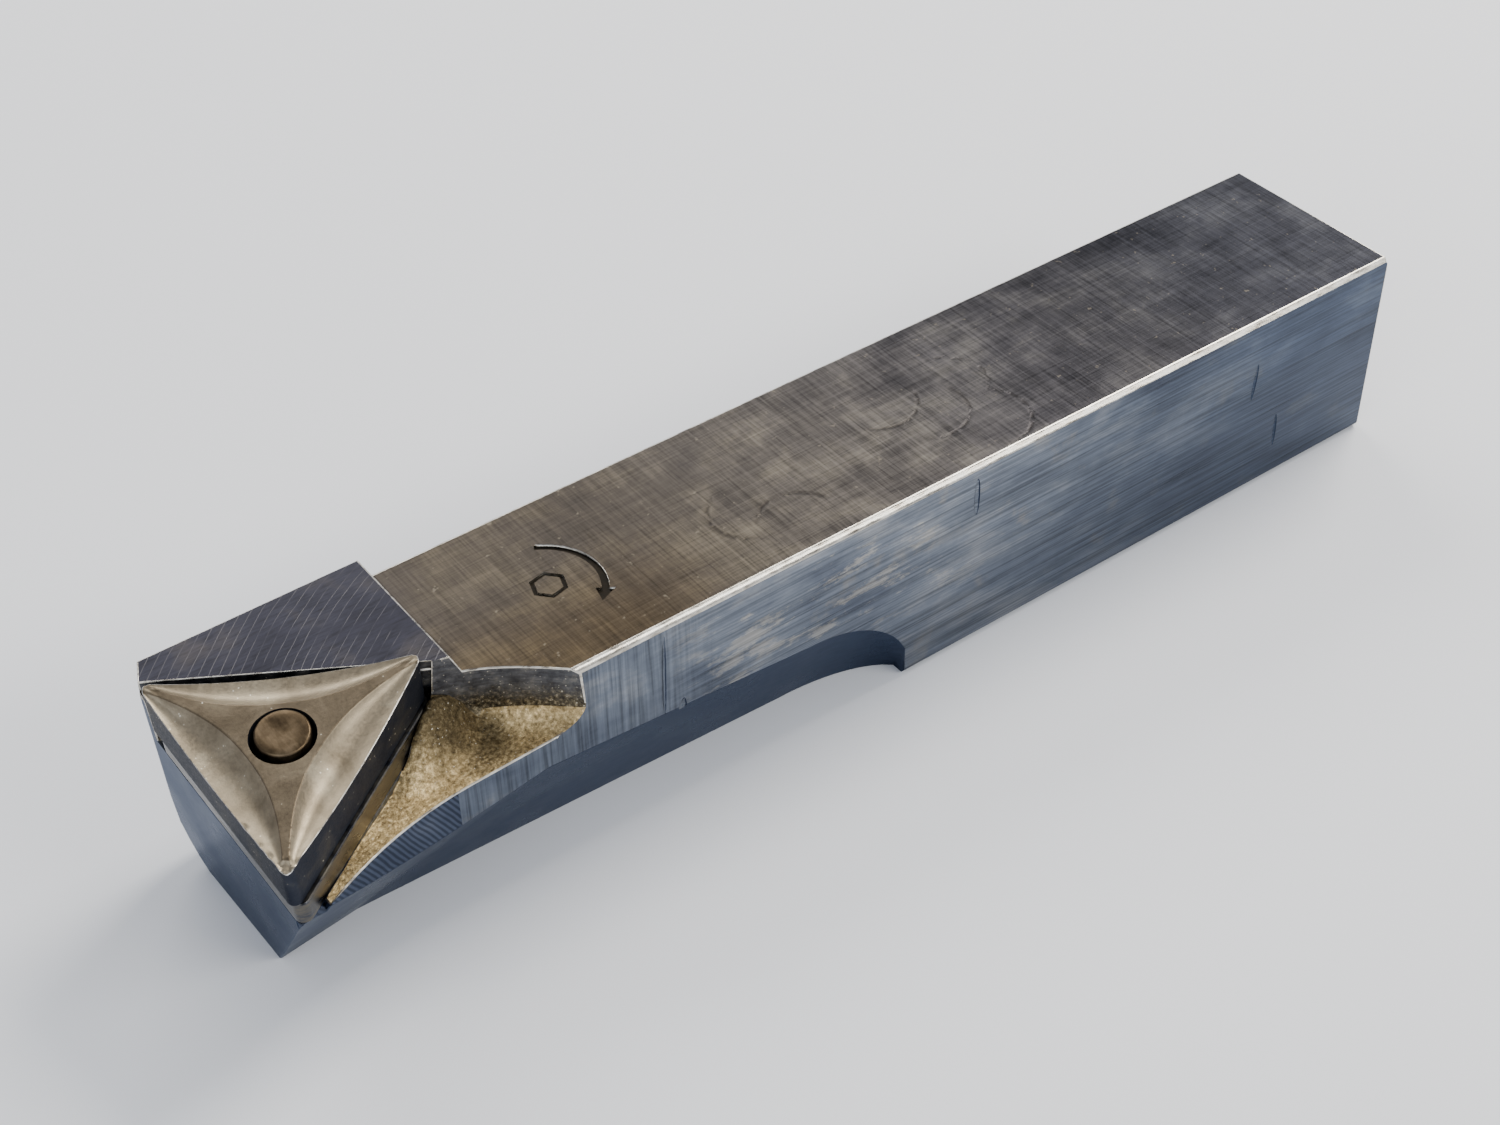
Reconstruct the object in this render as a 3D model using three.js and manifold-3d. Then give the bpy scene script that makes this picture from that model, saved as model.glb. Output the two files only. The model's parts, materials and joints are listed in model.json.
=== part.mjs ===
// A right-hand indexable turning tool: a square steel shank whose head holds a triangular insert on a
// seat, locked against the head's wall by an eccentric cam pin that is turned with a hex key from below.
// Millimetres, +Z up. The origin is the middle of the shank's bottom face: the head points to -X and the
// cutting side is -Y.
import * as THREE from "three";
import { mergeVertices } from "three/addons/utils/BufferGeometryUtils.js";
import Module from "manifold-3d";

const wasm = await Module();
wasm.setup();

// ---- Driving dimensions ----
const SHANK_WIDTH = 25.4;
const SHANK_HEIGHT = 25.4;
const TOOL_LENGTH = 152.4; // rear face to the round of the cutting nose
const SHANK_CHAMFER = 0.6;
const NOSE_OFFSET = 6.27; // the nose's sharp corner outside the shank's near side
const NOSE_RISE = 0.05; // the nose's sharp corner above the shank's top

const LEAD_ANGLE = 2; // degrees that the front cutting edge turns away from square to the shank
const BACK_RAKE = 4.4; // degrees that the insert rises towards the rear
const SIDE_RAKE = 8; // degrees that the insert rises towards the far side

const INSERT_CIRCLE = 15.875; // diameter of the circle inscribed in the insert
const INSERT_THICKNESS = 6.35;
const INSERT_NOSE_RADIUS = 0.8;
const INSERT_HOLE_RADIUS = 3.2;
const EDGE_SAG = 1.6; // how far each cutting edge dips below its corners at mid length
const LAND_DROP = 0.3; // flat Y-shaped land below the corners
const SCOOP_WIDTH = 4.05; // hollow inside each edge, at mid length
const SCOOP_DEPTH = 0.25;
const SCOOP_STEEPNESS = 3.5; // how late the hollow climbs to the land
const SCOOP_BULGE = 2.2; // how full the hollow's inner outline is
const SCOOP_TAPER = 1.3; // how fast the hollow narrows towards the corners

const SEAT_THICKNESS = 3.18;
const SEAT_FRONT_INSET = 0.3; // seat edge inside the insert's front edge
const SEAT_SIDE_LEDGE = 0.4; // seat edge outside the insert's gullet edge
const SEAT_CORNER_RADIUS = 1;

const BOSS_RISE = 2.25; // boss above the top of the shank
const BOSS_TAIL = 2.3; // boss behind the insert's rear corner, at its top
const BOSS_STEP_RUN = 1; // foot of the boss's rear step behind its top edge
const WALL_RELIEF_ANGLE = 2.9; // degrees that the wall's upper part opens away from the insert
const WALL_RELIEF_DEPTH = 3; // foot of the wall's opened part below the insert's corners
const FRONT_BEVEL_ANGLE = 24; // degrees of the bevel on the far upright edge of the front face
const FRONT_BEVEL_SETBACK = 0.4; // the bevel's rear edge behind the cutting nose
const FAR_CORNER_RADIUS = 6.5; // rounded lower far corner of the head
const FAR_CORNER_FADE = 0.3; // how fast the rounded lower corner runs out towards the rear

const GULLET_STEP = 0.25; // chip gullet's floor below the middle of the seat's floor, at its rear
const GULLET_FALL = 0.04; // slope of the gullet's floor towards the nose
const GULLET_TAIL = 12.5; // gullet behind the insert's rear corner, on the shank's near side
const GULLET_BOW = 1.1; // how far the gullet's back wall bows out
const GULLET_LEAN = 0.08; // how far the back wall leans back for each unit of depth
const MOUND_RISE = 5.5; // root of the gullet beside the rear corner of the seat
const MOUND_LENGTH = 9.3;
const MOUND_WIDTH = 4.5;
const GULLET_FILLET = 2.4; // round between the gullet's floor and its back wall

const FLARE_LENGTH = 18.5; // nose support that widens from the shank's side, along the shank
const FLARE_WIDTH = 4.5;
const FLARE_SETBACK = 0.5; // rear end of the flare ahead of the insert's rear corner

const RELIEF_WIDTH = 5.65; // clearance bevel across the bottom face
const RELIEF_HEIGHT_FRONT = 8.4; // clearance bevel up the near side, at the head
const RELIEF_HEIGHT_REAR = 12;
const RELIEF_LENGTH = 63.6; // cutting nose to where the bevel starts to run out
const RELIEF_RUNOUT = 14.5;

const JOURNAL_INSET = 0.25; // pin's journal smaller in radius than the insert's hole
const CAM_THROW = 0.32; // cam head axis from the journal axis
const HEAD_CLEARANCE = 0.12; // cam head to the insert's hole on the locked side
const PIN_HEAD_DROP = 0.15; // top of the cam head below the insert's corners
const PIN_RIM_CHAMFER = 0.3;
const COLLAR_WIDTH = 0.9; // collar outside the journal
const COLLAR_THICKNESS = 1.4;
const PIN_END_RECESS = 1.1; // middle of the pin's end above the shank's bottom face
const HEX_ACROSS_FLATS = 3.175;
const HEX_DEPTH = 3.6;
const RING_THICKNESS = 0.8;
const RING_WIDTH = 0.8; // retaining ring outside the journal
const RING_GAP_ANGLE = 50; // degrees of the open mouth of the retaining ring
const RING_GROOVE_DEPTH = 0.55;
const WASHER_THICKNESS = 0.4;
const WASHER_WIDTH = 0.95; // wave washer outside the journal
const WASHER_WAVE = 0.35; // rise of the wave washer's crests
const WASHER_CRESTS = 3;
const END_LAND = 1.1; // pin left below the retaining ring's groove

// ---- Clearances ----
const REST_GAP = 0.05; // between faces that rest on each other
const RUNNING_CLEARANCE = 0.05; // radial, pin in its bores and rings
const BORE_ROOM = 0.15; // radial, round the collar and the washer
const SIDE_GAP = 0.1; // seat to the head's wall

// ---- Facets and cutters ----
const ROUND_SEGMENTS = 64;
const ARC_SEGMENTS = 6;
const EDGE_STEPS = 14;
const TOP_RINGS = 9;
const GULLET_COLUMNS = 26;
const GULLET_ROWS = 20;
const FLARE_STEPS = 10;
const RELIEF_STEPS = 16;
const FAR_CORNER_FACETS = 5;
const COLUMN_CROWDING = 1.8;
const BOW_SKEW = 0.8;
const BOW_GROWTH = 4;
const CUTTER_REACH = 60; // cutters reach this far past the solid
const CUTTER_OVERSHOOT = 1;

// ---- Derived sizes ----
const REAR_X = TOOL_LENGTH / 2;
const NOSE_X = -TOOL_LENGTH / 2;
const NEAR_Y = -SHANK_WIDTH / 2;
const FAR_Y = SHANK_WIDTH / 2;
const CLEAR_X = NOSE_X - NOSE_OFFSET; // a plane in front of everything
const INRADIUS = INSERT_CIRCLE / 2;
const HALF_SIDE = INRADIUS * Math.sqrt(3);
const SEAT_TOP = -(INSERT_THICKNESS + REST_GAP);
const SEAT_BOTTOM = SEAT_TOP - SEAT_THICKNESS;
const POCKET_FLOOR = SEAT_BOTTOM - REST_GAP;
const JOURNAL_RADIUS = INSERT_HOLE_RADIUS - JOURNAL_INSET;
const HEAD_RADIUS = INSERT_HOLE_RADIUS - CAM_THROW - HEAD_CLEARANCE;
const COLLAR_RADIUS = JOURNAL_RADIUS + COLLAR_WIDTH;
const COLLAR_TOP = SEAT_TOP - REST_GAP;
const COLLAR_BOTTOM = COLLAR_TOP - COLLAR_THICKNESS;
const BORE_RADIUS = JOURNAL_RADIUS + RUNNING_CLEARANCE;
const WASHER_RADIUS = JOURNAL_RADIUS + WASHER_WIDTH;
const COUNTERBORE_RADIUS = WASHER_RADIUS + BORE_ROOM;
const GROOVE_RADIUS = JOURNAL_RADIUS - RING_GROOVE_DEPTH;

// Edge normals of the insert in the pocket's own frame: front, gullet side and wall side.
const FRONT_NORMAL = new THREE.Vector2(-1, 0);
const GULLET_NORMAL = new THREE.Vector2(0.5, -Math.sqrt(3) / 2);
const WALL_NORMAL = new THREE.Vector2(0.5, Math.sqrt(3) / 2);

// The pocket's frame: its origin is the insert's centre at the height of the corners, +Z is square to
// the insert, and -X faces the front.
function pocketMatrix() {
  const turn = new THREE.Matrix4().makeRotationX(THREE.MathUtils.degToRad(SIDE_RAKE));
  turn.multiply(new THREE.Matrix4().makeRotationY(-THREE.MathUtils.degToRad(BACK_RAKE)));
  turn.multiply(new THREE.Matrix4().makeRotationZ(THREE.MathUtils.degToRad(LEAD_ANGLE)));
  const noseRoundBack = INSERT_NOSE_RADIUS * (Math.sqrt(3) - 1);
  const nose = new THREE.Vector3(
    NOSE_X - noseRoundBack,
    NEAR_Y - NOSE_OFFSET,
    SHANK_HEIGHT + NOSE_RISE,
  );
  const sharpCorner = new THREE.Vector3(-INRADIUS, -HALF_SIDE, 0).applyMatrix4(turn);
  return turn.setPosition(nose.sub(sharpCorner));
}
const POCKET = pocketMatrix();

const INSERT_CENTRE = new THREE.Vector3().setFromMatrixPosition(POCKET);
const PIN_UP = new THREE.Vector3().setFromMatrixColumn(POCKET, 2);

// Where the insert's sharp rear corner stands over the head.
const ROOT = new THREE.Vector3(INSERT_CIRCLE, 0, 0).applyMatrix4(POCKET);

const PIN_END = -(INSERT_CENTRE.z - PIN_END_RECESS) / PIN_UP.z;
const RING_BOTTOM = PIN_END + END_LAND;
const RING_TOP = RING_BOTTOM + RING_THICKNESS;
const WASHER_BOTTOM = RING_TOP + REST_GAP;
const WASHER_TOP = WASHER_BOTTOM + WASHER_THICKNESS + WASHER_WAVE;
const COUNTERBORE_FLOOR = WASHER_TOP + REST_GAP;

// ---- Solids and meshes ----
function solidFrom(geometry, matrix) {
  const bare = geometry.clone();
  bare.deleteAttribute("normal");
  bare.deleteAttribute("uv");
  if (matrix) bare.applyMatrix4(matrix);
  const merged = mergeVertices(bare, 1e-4);
  const mesh = new wasm.Mesh({
    numProp: 3,
    vertProperties: merged.attributes.position.array,
    triVerts: new Uint32Array(merged.index.array),
  });
  return new wasm.Manifold(mesh);
}

function geometryFrom(solid) {
  const mesh = solid.getMesh();
  const geometry = new THREE.BufferGeometry();
  geometry.setAttribute("position", new THREE.BufferAttribute(mesh.vertProperties, 3));
  geometry.setIndex(new THREE.BufferAttribute(mesh.triVerts, 1));
  geometry.computeVertexNormals();
  return geometry;
}

function prism(points, bottom, top) {
  const geometry = new THREE.ExtrudeGeometry(new THREE.Shape(points), {
    depth: top - bottom,
    bevelEnabled: false,
    curveSegments: ARC_SEGMENTS,
  });
  return geometry.translate(0, 0, bottom);
}

// A round bar along +Z, from one height to another.
function roundBar(radius, bottom, top) {
  const bar = new THREE.CylinderGeometry(radius, radius, top - bottom, ROUND_SEGMENTS);
  return bar.rotateX(Math.PI / 2).translate(0, 0, (top + bottom) / 2);
}

// A turned solid about +Z: the outline is a list of [radius, height] from the bottom up, closed on the axis.
function turned(outline) {
  const points = outline.map(([radius, height]) => new THREE.Vector2(radius, height));
  return new THREE.LatheGeometry(points, ROUND_SEGMENTS).rotateX(Math.PI / 2);
}

// A closed solid through equal-sided sections, each a list of Vector3 that turns anticlockwise about the
// way from the first section to the last.
function loft(sections) {
  const count = sections[0].length;
  const positions = sections.flat().flatMap((point) => [point.x, point.y, point.z]);
  const index = [];
  for (let s = 0; s + 1 < sections.length; s++) {
    for (let i = 0; i < count; i++) {
      const a = s * count + i;
      const b = s * count + ((i + 1) % count);
      index.push(a, b, b + count, a, b + count, a + count);
    }
  }
  const last = (sections.length - 1) * count;
  for (let i = 1; i + 1 < count; i++) {
    index.push(0, i + 1, i, last, last + i, last + i + 1);
  }
  const geometry = new THREE.BufferGeometry();
  geometry.setAttribute("position", new THREE.Float32BufferAttribute(positions, 3));
  geometry.setIndex(index);
  return geometry;
}

// A closed solid between two grids of points, the second above the first. Rows run to +X and the points
// of a row to +Y.
function block(low, high) {
  const columns = low.length - 1;
  const rows = low[0].length - 1;
  const stride = rows + 1;
  const above = stride * low.length;
  const at = (i, j) => i * stride + j;
  const index = [];
  const quad = (a, b, c, d) => index.push(a, b, c, a, c, d);
  for (let i = 0; i < columns; i++) {
    for (let j = 0; j < rows; j++) {
      quad(at(i, j), at(i, j + 1), at(i + 1, j + 1), at(i + 1, j));
      quad(above + at(i, j), above + at(i + 1, j), above + at(i + 1, j + 1), above + at(i, j + 1));
    }
    quad(at(i, 0), at(i + 1, 0), above + at(i + 1, 0), above + at(i, 0));
    quad(at(i, rows), above + at(i, rows), above + at(i + 1, rows), at(i + 1, rows));
  }
  for (let j = 0; j < rows; j++) {
    quad(at(0, j), above + at(0, j), above + at(0, j + 1), at(0, j + 1));
    quad(at(columns, j), at(columns, j + 1), above + at(columns, j + 1), above + at(columns, j));
  }
  const positions = [...low, ...high].flat().flatMap((point) => [point.x, point.y, point.z]);
  const geometry = new THREE.BufferGeometry();
  geometry.setAttribute("position", new THREE.Float32BufferAttribute(positions, 3));
  geometry.setIndex(index);
  return geometry;
}

// Takes away everything of a solid on the side of a plane that its normal points to.
function trimmed(solid, normal, point) {
  const side = 2 * TOOL_LENGTH;
  const box = new THREE.BoxGeometry(side, side, side).translate(0, 0, side / 2);
  const turn = new THREE.Quaternion().setFromUnitVectors(
    new THREE.Vector3(0, 0, 1),
    normal.clone().normalize(),
  );
  const matrix = new THREE.Matrix4().makeRotationFromQuaternion(turn).setPosition(point);
  return solid.subtract(solidFrom(box, matrix));
}

// ---- Triangles ----
// The corner where two edge lines meet, each given by its outward normal and distance from the centre.
function corner(normalA, distanceA, normalB, distanceB) {
  const determinant = normalA.x * normalB.y - normalA.y * normalB.x;
  const x = (distanceA * normalB.y - distanceB * normalA.y) / determinant;
  const y = (normalA.x * distanceB - normalB.x * distanceA) / determinant;
  return new THREE.Vector2(x, y);
}

// A triangle with round corners, turning anticlockwise from the front edge's far corner. Each edge gets
// the given number of steps.
function roundedTriangle(front, gullet, wall, radius, steps) {
  const edges = [
    [FRONT_NORMAL, front],
    [GULLET_NORMAL, gullet],
    [WALL_NORMAL, wall],
  ];
  const outline = [];
  for (let k = 0; k < edges.length; k++) {
    const [normal, distance] = edges[k];
    const [nextNormal, nextDistance] = edges[(k + 1) % edges.length];
    const [previousNormal, previousDistance] = edges[(k + 2) % edges.length];
    const start = corner(previousNormal, previousDistance - radius, normal, distance - radius);
    const end = corner(normal, distance - radius, nextNormal, nextDistance - radius);
    const outward = normal.clone().multiplyScalar(radius);
    for (let i = 0; i < steps; i++) {
      outline.push(start.clone().lerp(end, i / steps).add(outward));
    }
    const turn = Math.atan2(normal.y, normal.x);
    for (let i = 0; i < ARC_SEGMENTS; i++) {
      const angle = turn + ((i / ARC_SEGMENTS) * 2 * Math.PI) / 3;
      outline.push(new THREE.Vector2(radius * Math.cos(angle), radius * Math.sin(angle)).add(end));
    }
  }
  return outline;
}

function seatOutline() {
  return roundedTriangle(
    INRADIUS - SEAT_FRONT_INSET,
    INRADIUS + SEAT_SIDE_LEDGE,
    INRADIUS - SIDE_GAP,
    SEAT_CORNER_RADIUS,
    1,
  );
}

// ---- Insert ----
// Height of the insert's top: a flat Y-shaped land, a hollow inside each edge that is widest at mid
// length, and edges that dip between the corners.
function insertTop(point) {
  const near = [FRONT_NORMAL, GULLET_NORMAL, WALL_NORMAL]
    .map((normal) => ({
      inside: Math.max(INRADIUS - point.dot(normal), 0),
      along: Math.abs(point.cross(normal)),
    }))
    .sort((a, b) => a.inside - b.inside)[0];
  const share = Math.min(near.along / HALF_SIDE, 1);
  const edge = -EDGE_SAG * (1 - share ** 2);
  const width = SCOOP_WIDTH * (1 - share ** SCOOP_BULGE) ** SCOOP_TAPER;
  const reach = width > 0 ? Math.min(near.inside / width, 1) : 1;
  const hollow = SCOOP_DEPTH * Math.sin(Math.PI * reach) * (1 - share ** 4);
  const land = -LAND_DROP * Math.min(near.inside, 1);
  return edge + (land - edge) * reach ** SCOOP_STEEPNESS - hollow;
}

// Rings of points run from the hole to the outline over the top, down the sides and back underneath.
function insertGeometry() {
  const outline = roundedTriangle(INRADIUS, INRADIUS, INRADIUS, INSERT_NOSE_RADIUS, EDGE_STEPS);
  const sections = [];
  const ringAt = (share, heightOf) =>
    outline.map((edgePoint) => {
      const hole = edgePoint.clone().setLength(INSERT_HOLE_RADIUS);
      const point = hole.lerp(edgePoint, share);
      return new THREE.Vector3(point.x, point.y, heightOf(point));
    });
  for (let ring = 0; ring <= TOP_RINGS; ring++) {
    sections.push(ringAt(ring / TOP_RINGS, insertTop));
  }
  sections.push(ringAt(1, () => -INSERT_THICKNESS));
  sections.push(ringAt(0, () => -INSERT_THICKNESS));
  const count = outline.length;
  const positions = sections.flat().flatMap((point) => [point.x, point.y, point.z]);
  const index = [];
  for (let s = 0; s < sections.length; s++) {
    const row = s * count;
    const next = ((s + 1) % sections.length) * count;
    for (let i = 0; i < count; i++) {
      const j = (i + 1) % count;
      index.push(row + i, next + j, row + j, row + i, next + i, next + j);
    }
  }
  const geometry = new THREE.BufferGeometry();
  geometry.setAttribute("position", new THREE.Float32BufferAttribute(positions, 3));
  geometry.setIndex(index);
  geometry.computeVertexNormals();
  return geometry;
}

// ---- Seat ----
function seatGeometry() {
  const plate = solidFrom(prism(seatOutline(), SEAT_BOTTOM, SEAT_TOP));
  const bore = solidFrom(
    roundBar(BORE_RADIUS, SEAT_BOTTOM - CUTTER_OVERSHOOT, SEAT_TOP + CUTTER_OVERSHOOT),
  );
  const collarSeat = solidFrom(
    roundBar(
      COLLAR_RADIUS + BORE_ROOM,
      COLLAR_BOTTOM - REST_GAP,
      SEAT_TOP + CUTTER_OVERSHOOT,
    ),
  );
  return geometryFrom(plate.subtract(bore).subtract(collarSeat));
}

// ---- Cam pin ----
function hexSocket() {
  const radius = HEX_ACROSS_FLATS / Math.sqrt(3);
  const length = HEX_DEPTH + CUTTER_OVERSHOOT;
  const socket = new THREE.CylinderGeometry(radius, radius, length, 6);
  return socket.rotateX(Math.PI / 2).translate(0, 0, PIN_END + HEX_DEPTH - length / 2);
}

function camPinGeometry() {
  const grooveTop = RING_TOP + REST_GAP / 2;
  const grooveBottom = RING_BOTTOM - REST_GAP / 2;
  const shaft = solidFrom(
    turned([
      [0, PIN_END],
      [JOURNAL_RADIUS - PIN_RIM_CHAMFER, PIN_END],
      [JOURNAL_RADIUS, PIN_END + PIN_RIM_CHAMFER],
      [JOURNAL_RADIUS, grooveBottom],
      [GROOVE_RADIUS, grooveBottom],
      [GROOVE_RADIUS, grooveTop],
      [JOURNAL_RADIUS, grooveTop],
      [JOURNAL_RADIUS, COLLAR_BOTTOM],
      [COLLAR_RADIUS, COLLAR_BOTTOM],
      [COLLAR_RADIUS, COLLAR_TOP],
      [0, COLLAR_TOP],
    ]),
  );
  const head = turned([
    [0, COLLAR_TOP - COLLAR_THICKNESS / 2],
    [HEAD_RADIUS, COLLAR_TOP - COLLAR_THICKNESS / 2],
    [HEAD_RADIUS, -PIN_HEAD_DROP - PIN_RIM_CHAMFER],
    [HEAD_RADIUS - PIN_RIM_CHAMFER, -PIN_HEAD_DROP],
    [0, -PIN_HEAD_DROP],
  ]).translate(WALL_NORMAL.x * CAM_THROW, WALL_NORMAL.y * CAM_THROW, 0);
  return geometryFrom(shaft.add(solidFrom(head)).subtract(solidFrom(hexSocket())));
}

// ---- Wave washer and retaining ring ----
function washerGeometry() {
  const sections = [];
  for (let i = 0; i < ROUND_SEGMENTS; i++) {
    const angle = (i / ROUND_SEGMENTS) * 2 * Math.PI;
    const rise = WASHER_BOTTOM + (WASHER_WAVE / 2) * (1 + Math.cos(WASHER_CRESTS * angle));
    const point = (radius, height) =>
      new THREE.Vector3(radius * Math.cos(angle), radius * Math.sin(angle), height);
    sections.push([
      point(BORE_RADIUS, rise),
      point(BORE_RADIUS, rise + WASHER_THICKNESS),
      point(WASHER_RADIUS, rise + WASHER_THICKNESS),
      point(WASHER_RADIUS, rise),
    ]);
  }
  const positions = sections.flat().flatMap((point) => [point.x, point.y, point.z]);
  const index = [];
  for (let s = 0; s < ROUND_SEGMENTS; s++) {
    const row = s * 4;
    const next = ((s + 1) % ROUND_SEGMENTS) * 4;
    for (let i = 0; i < 4; i++) {
      const j = (i + 1) % 4;
      index.push(row + i, row + j, next + j, row + i, next + j, next + i);
    }
  }
  const geometry = new THREE.BufferGeometry();
  geometry.setAttribute("position", new THREE.Float32BufferAttribute(positions, 3));
  geometry.setIndex(index);
  geometry.computeVertexNormals();
  return geometry;
}

function retainingRingGeometry() {
  const inner = GROOVE_RADIUS + RUNNING_CLEARANCE;
  const half = THREE.MathUtils.degToRad(RING_GAP_ANGLE / 2);
  const shape = new THREE.Shape();
  shape.absarc(0, 0, JOURNAL_RADIUS + RING_WIDTH, half, 2 * Math.PI - half, false);
  shape.absarc(0, 0, inner, 2 * Math.PI - half, half, true);
  shape.closePath();
  const ring = new THREE.ExtrudeGeometry(shape, {
    depth: RING_THICKNESS,
    bevelEnabled: false,
    curveSegments: ROUND_SEGMENTS,
  });
  return ring.translate(0, 0, RING_BOTTOM);
}

// ---- Holder ----
// The square bar, with chamfered long edges and a chamfered rear end.
function shankBar() {
  const section = (x, inset) => {
    const near = NEAR_Y + inset;
    const far = FAR_Y - inset;
    const low = inset;
    const high = SHANK_HEIGHT - inset;
    const cut = SHANK_CHAMFER;
    return [
      new THREE.Vector3(x, near + cut, low),
      new THREE.Vector3(x, far - cut, low),
      new THREE.Vector3(x, far, low + cut),
      new THREE.Vector3(x, far, high - cut),
      new THREE.Vector3(x, far - cut, high),
      new THREE.Vector3(x, near + cut, high),
      new THREE.Vector3(x, near, high - cut),
      new THREE.Vector3(x, near, low + cut),
    ];
  };
  return loft([
    section(CLEAR_X, 0),
    section(REAR_X - SHANK_CHAMFER, 0),
    section(REAR_X, SHANK_CHAMFER),
  ]);
}

// The raised block over the front of the shank, with a sloping rear step.
function boss() {
  const top = SHANK_HEIGHT + BOSS_RISE;
  const rear = ROOT.x + BOSS_TAIL;
  const section = (y) => [
    new THREE.Vector3(CLEAR_X, y, SHANK_HEIGHT / 2),
    new THREE.Vector3(CLEAR_X, y, top),
    new THREE.Vector3(rear, y, top),
    new THREE.Vector3(rear + BOSS_STEP_RUN, y, SHANK_HEIGHT),
    new THREE.Vector3(rear + BOSS_STEP_RUN, y, SHANK_HEIGHT / 2),
  ];
  return loft([section(NEAR_Y), section(FAR_Y)]);
}

// The widening under the nose, outside the shank's near side: it curves out more and more to the front.
function noseFlare() {
  const rear = ROOT.x - FLARE_SETBACK;
  const front = rear - FLARE_LENGTH;
  const outline = [new THREE.Vector2(front, NEAR_Y + FLARE_WIDTH)];
  for (let i = FLARE_STEPS; i >= 0; i--) {
    const share = i / FLARE_STEPS;
    outline.push(new THREE.Vector2(rear - FLARE_LENGTH * share, NEAR_Y - FLARE_WIDTH * share ** 2));
  }
  outline.push(new THREE.Vector2(rear, NEAR_Y + FLARE_WIDTH));
  return prism(outline, 0, SHANK_HEIGHT);
}

// Solid steel that carries the seat, square to it, down to the bottom face.
function pedestal() {
  return solidFrom(prism(seatOutline(), POCKET_FLOOR - 2 * SHANK_HEIGHT, POCKET_FLOOR), POCKET);
}

// Room for the seat and insert: all of the head above the pocket's floor, in front of its wall and
// inside the gullet's edge.
function pocketRoom() {
  const gulletEdge = INRADIUS + SEAT_SIDE_LEDGE + SIDE_GAP;
  const wall = INRADIUS + REST_GAP;
  const outline = [
    corner(GULLET_NORMAL, gulletEdge, WALL_NORMAL, wall),
    corner(FRONT_NORMAL, CUTTER_REACH, WALL_NORMAL, wall),
    corner(FRONT_NORMAL, CUTTER_REACH, GULLET_NORMAL, gulletEdge),
  ];
  const room = solidFrom(prism(outline, POCKET_FLOOR, CUTTER_REACH), POCKET);
  return room.add(wallRelief(outline[0]));
}

// The thin wedge that opens the upper part of the wall towards the front, from the wall's rear end. Its
// inner side runs into the room, so that the two never share a face.
function wallRelief(rear) {
  const angle = THREE.MathUtils.degToRad(WALL_RELIEF_ANGLE);
  const along = new THREE.Vector2(-WALL_NORMAL.y, WALL_NORMAL.x);
  const opened = along.clone().rotateAround(new THREE.Vector2(), -angle);
  const outline = [
    rear,
    rear.clone().addScaledVector(opened, CUTTER_REACH),
    rear.clone().addScaledVector(along, CUTTER_REACH).addScaledVector(WALL_NORMAL, -CUTTER_OVERSHOOT),
  ];
  return solidFrom(prism(outline, -WALL_RELIEF_DEPTH, CUTTER_REACH), POCKET);
}

function gulletFloor(x) {
  const rear = INSERT_CENTRE.z + POCKET_FLOOR * PIN_UP.z - GULLET_STEP;
  return rear + GULLET_FALL * (x - (ROOT.x + GULLET_TAIL));
}

// The line on the shank's top that the gullet's back wall bows out from, and the way it faces.
function gulletBackLine() {
  const inner = new THREE.Vector2(ROOT.x, ROOT.y);
  const rearNear = new THREE.Vector2(ROOT.x + GULLET_TAIL, NEAR_Y);
  const backward = new THREE.Vector2(inner.y - rearNear.y, rearNear.x - inner.x).normalize();
  return { inner, outer: inner.clone().lerp(rearNear, 2), backward };
}

// The gullet's surface: a floor that falls towards the nose, a mound that climbs beside the rear corner
// of the seat, and a round up to the back wall, which is the given distance behind.
function gulletHeight(x, y, behind) {
  const along = new THREE.Vector3(GULLET_NORMAL.y, -GULLET_NORMAL.x, 0).transformDirection(POCKET);
  const distance = (x - ROOT.x) * along.x + (y - ROOT.y) * along.y;
  const aside = (x - ROOT.x) * along.y - (y - ROOT.y) * along.x;
  const reach = Math.min(Math.hypot(distance / MOUND_LENGTH, aside / MOUND_WIDTH), 1);
  const mound = MOUND_RISE * (1 - reach ** 2) ** 2;
  const inRound = Math.max(GULLET_FILLET - behind, 0);
  const round = GULLET_FILLET - Math.sqrt(GULLET_FILLET ** 2 - inRound ** 2);
  return gulletFloor(x) + Math.max(mound, round);
}

// The gullet as a block whose underside is the gullet's surface. Its columns run rearwards from in front
// of the head and crowd together at the back wall, which bows out and leans with depth.
function gulletRoom() {
  const { inner, outer, backward } = gulletBackLine();
  const low = [];
  const high = [];
  for (let i = 0; i <= GULLET_COLUMNS; i++) {
    const progress = 1 - (1 - i / GULLET_COLUMNS) ** COLUMN_CROWDING;
    const start = new THREE.Vector2(CLEAR_X, inner.y).lerp(inner, progress);
    const end = new THREE.Vector2(CLEAR_X, outer.y).lerp(outer, progress);
    const lowRow = [];
    const highRow = [];
    for (let j = 0; j <= GULLET_ROWS; j++) {
      const point = end.clone().lerp(start, j / GULLET_ROWS);
      const behind = inner.clone().sub(point).dot(backward);
      const share = Math.min(2 * (1 - j / GULLET_ROWS), 1);
      const bow = GULLET_BOW * Math.sin(Math.PI * share ** BOW_SKEW);
      point.addScaledVector(backward, bow * progress ** BOW_GROWTH);
      lowRow.push(leaned(point, gulletHeight(point.x, point.y, Math.max(behind, 0))));
      highRow.push(leaned(point, CUTTER_REACH));
    }
    low.push(lowRow);
    high.push(highRow);
  }
  return block(low, high);
}

// A point of the gullet's outline at the shank's top, carried to another height along the lean.
function leaned(point, height) {
  return new THREE.Vector3(point.x + GULLET_LEAN * (SHANK_HEIGHT - height), point.y, height);
}

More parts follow.
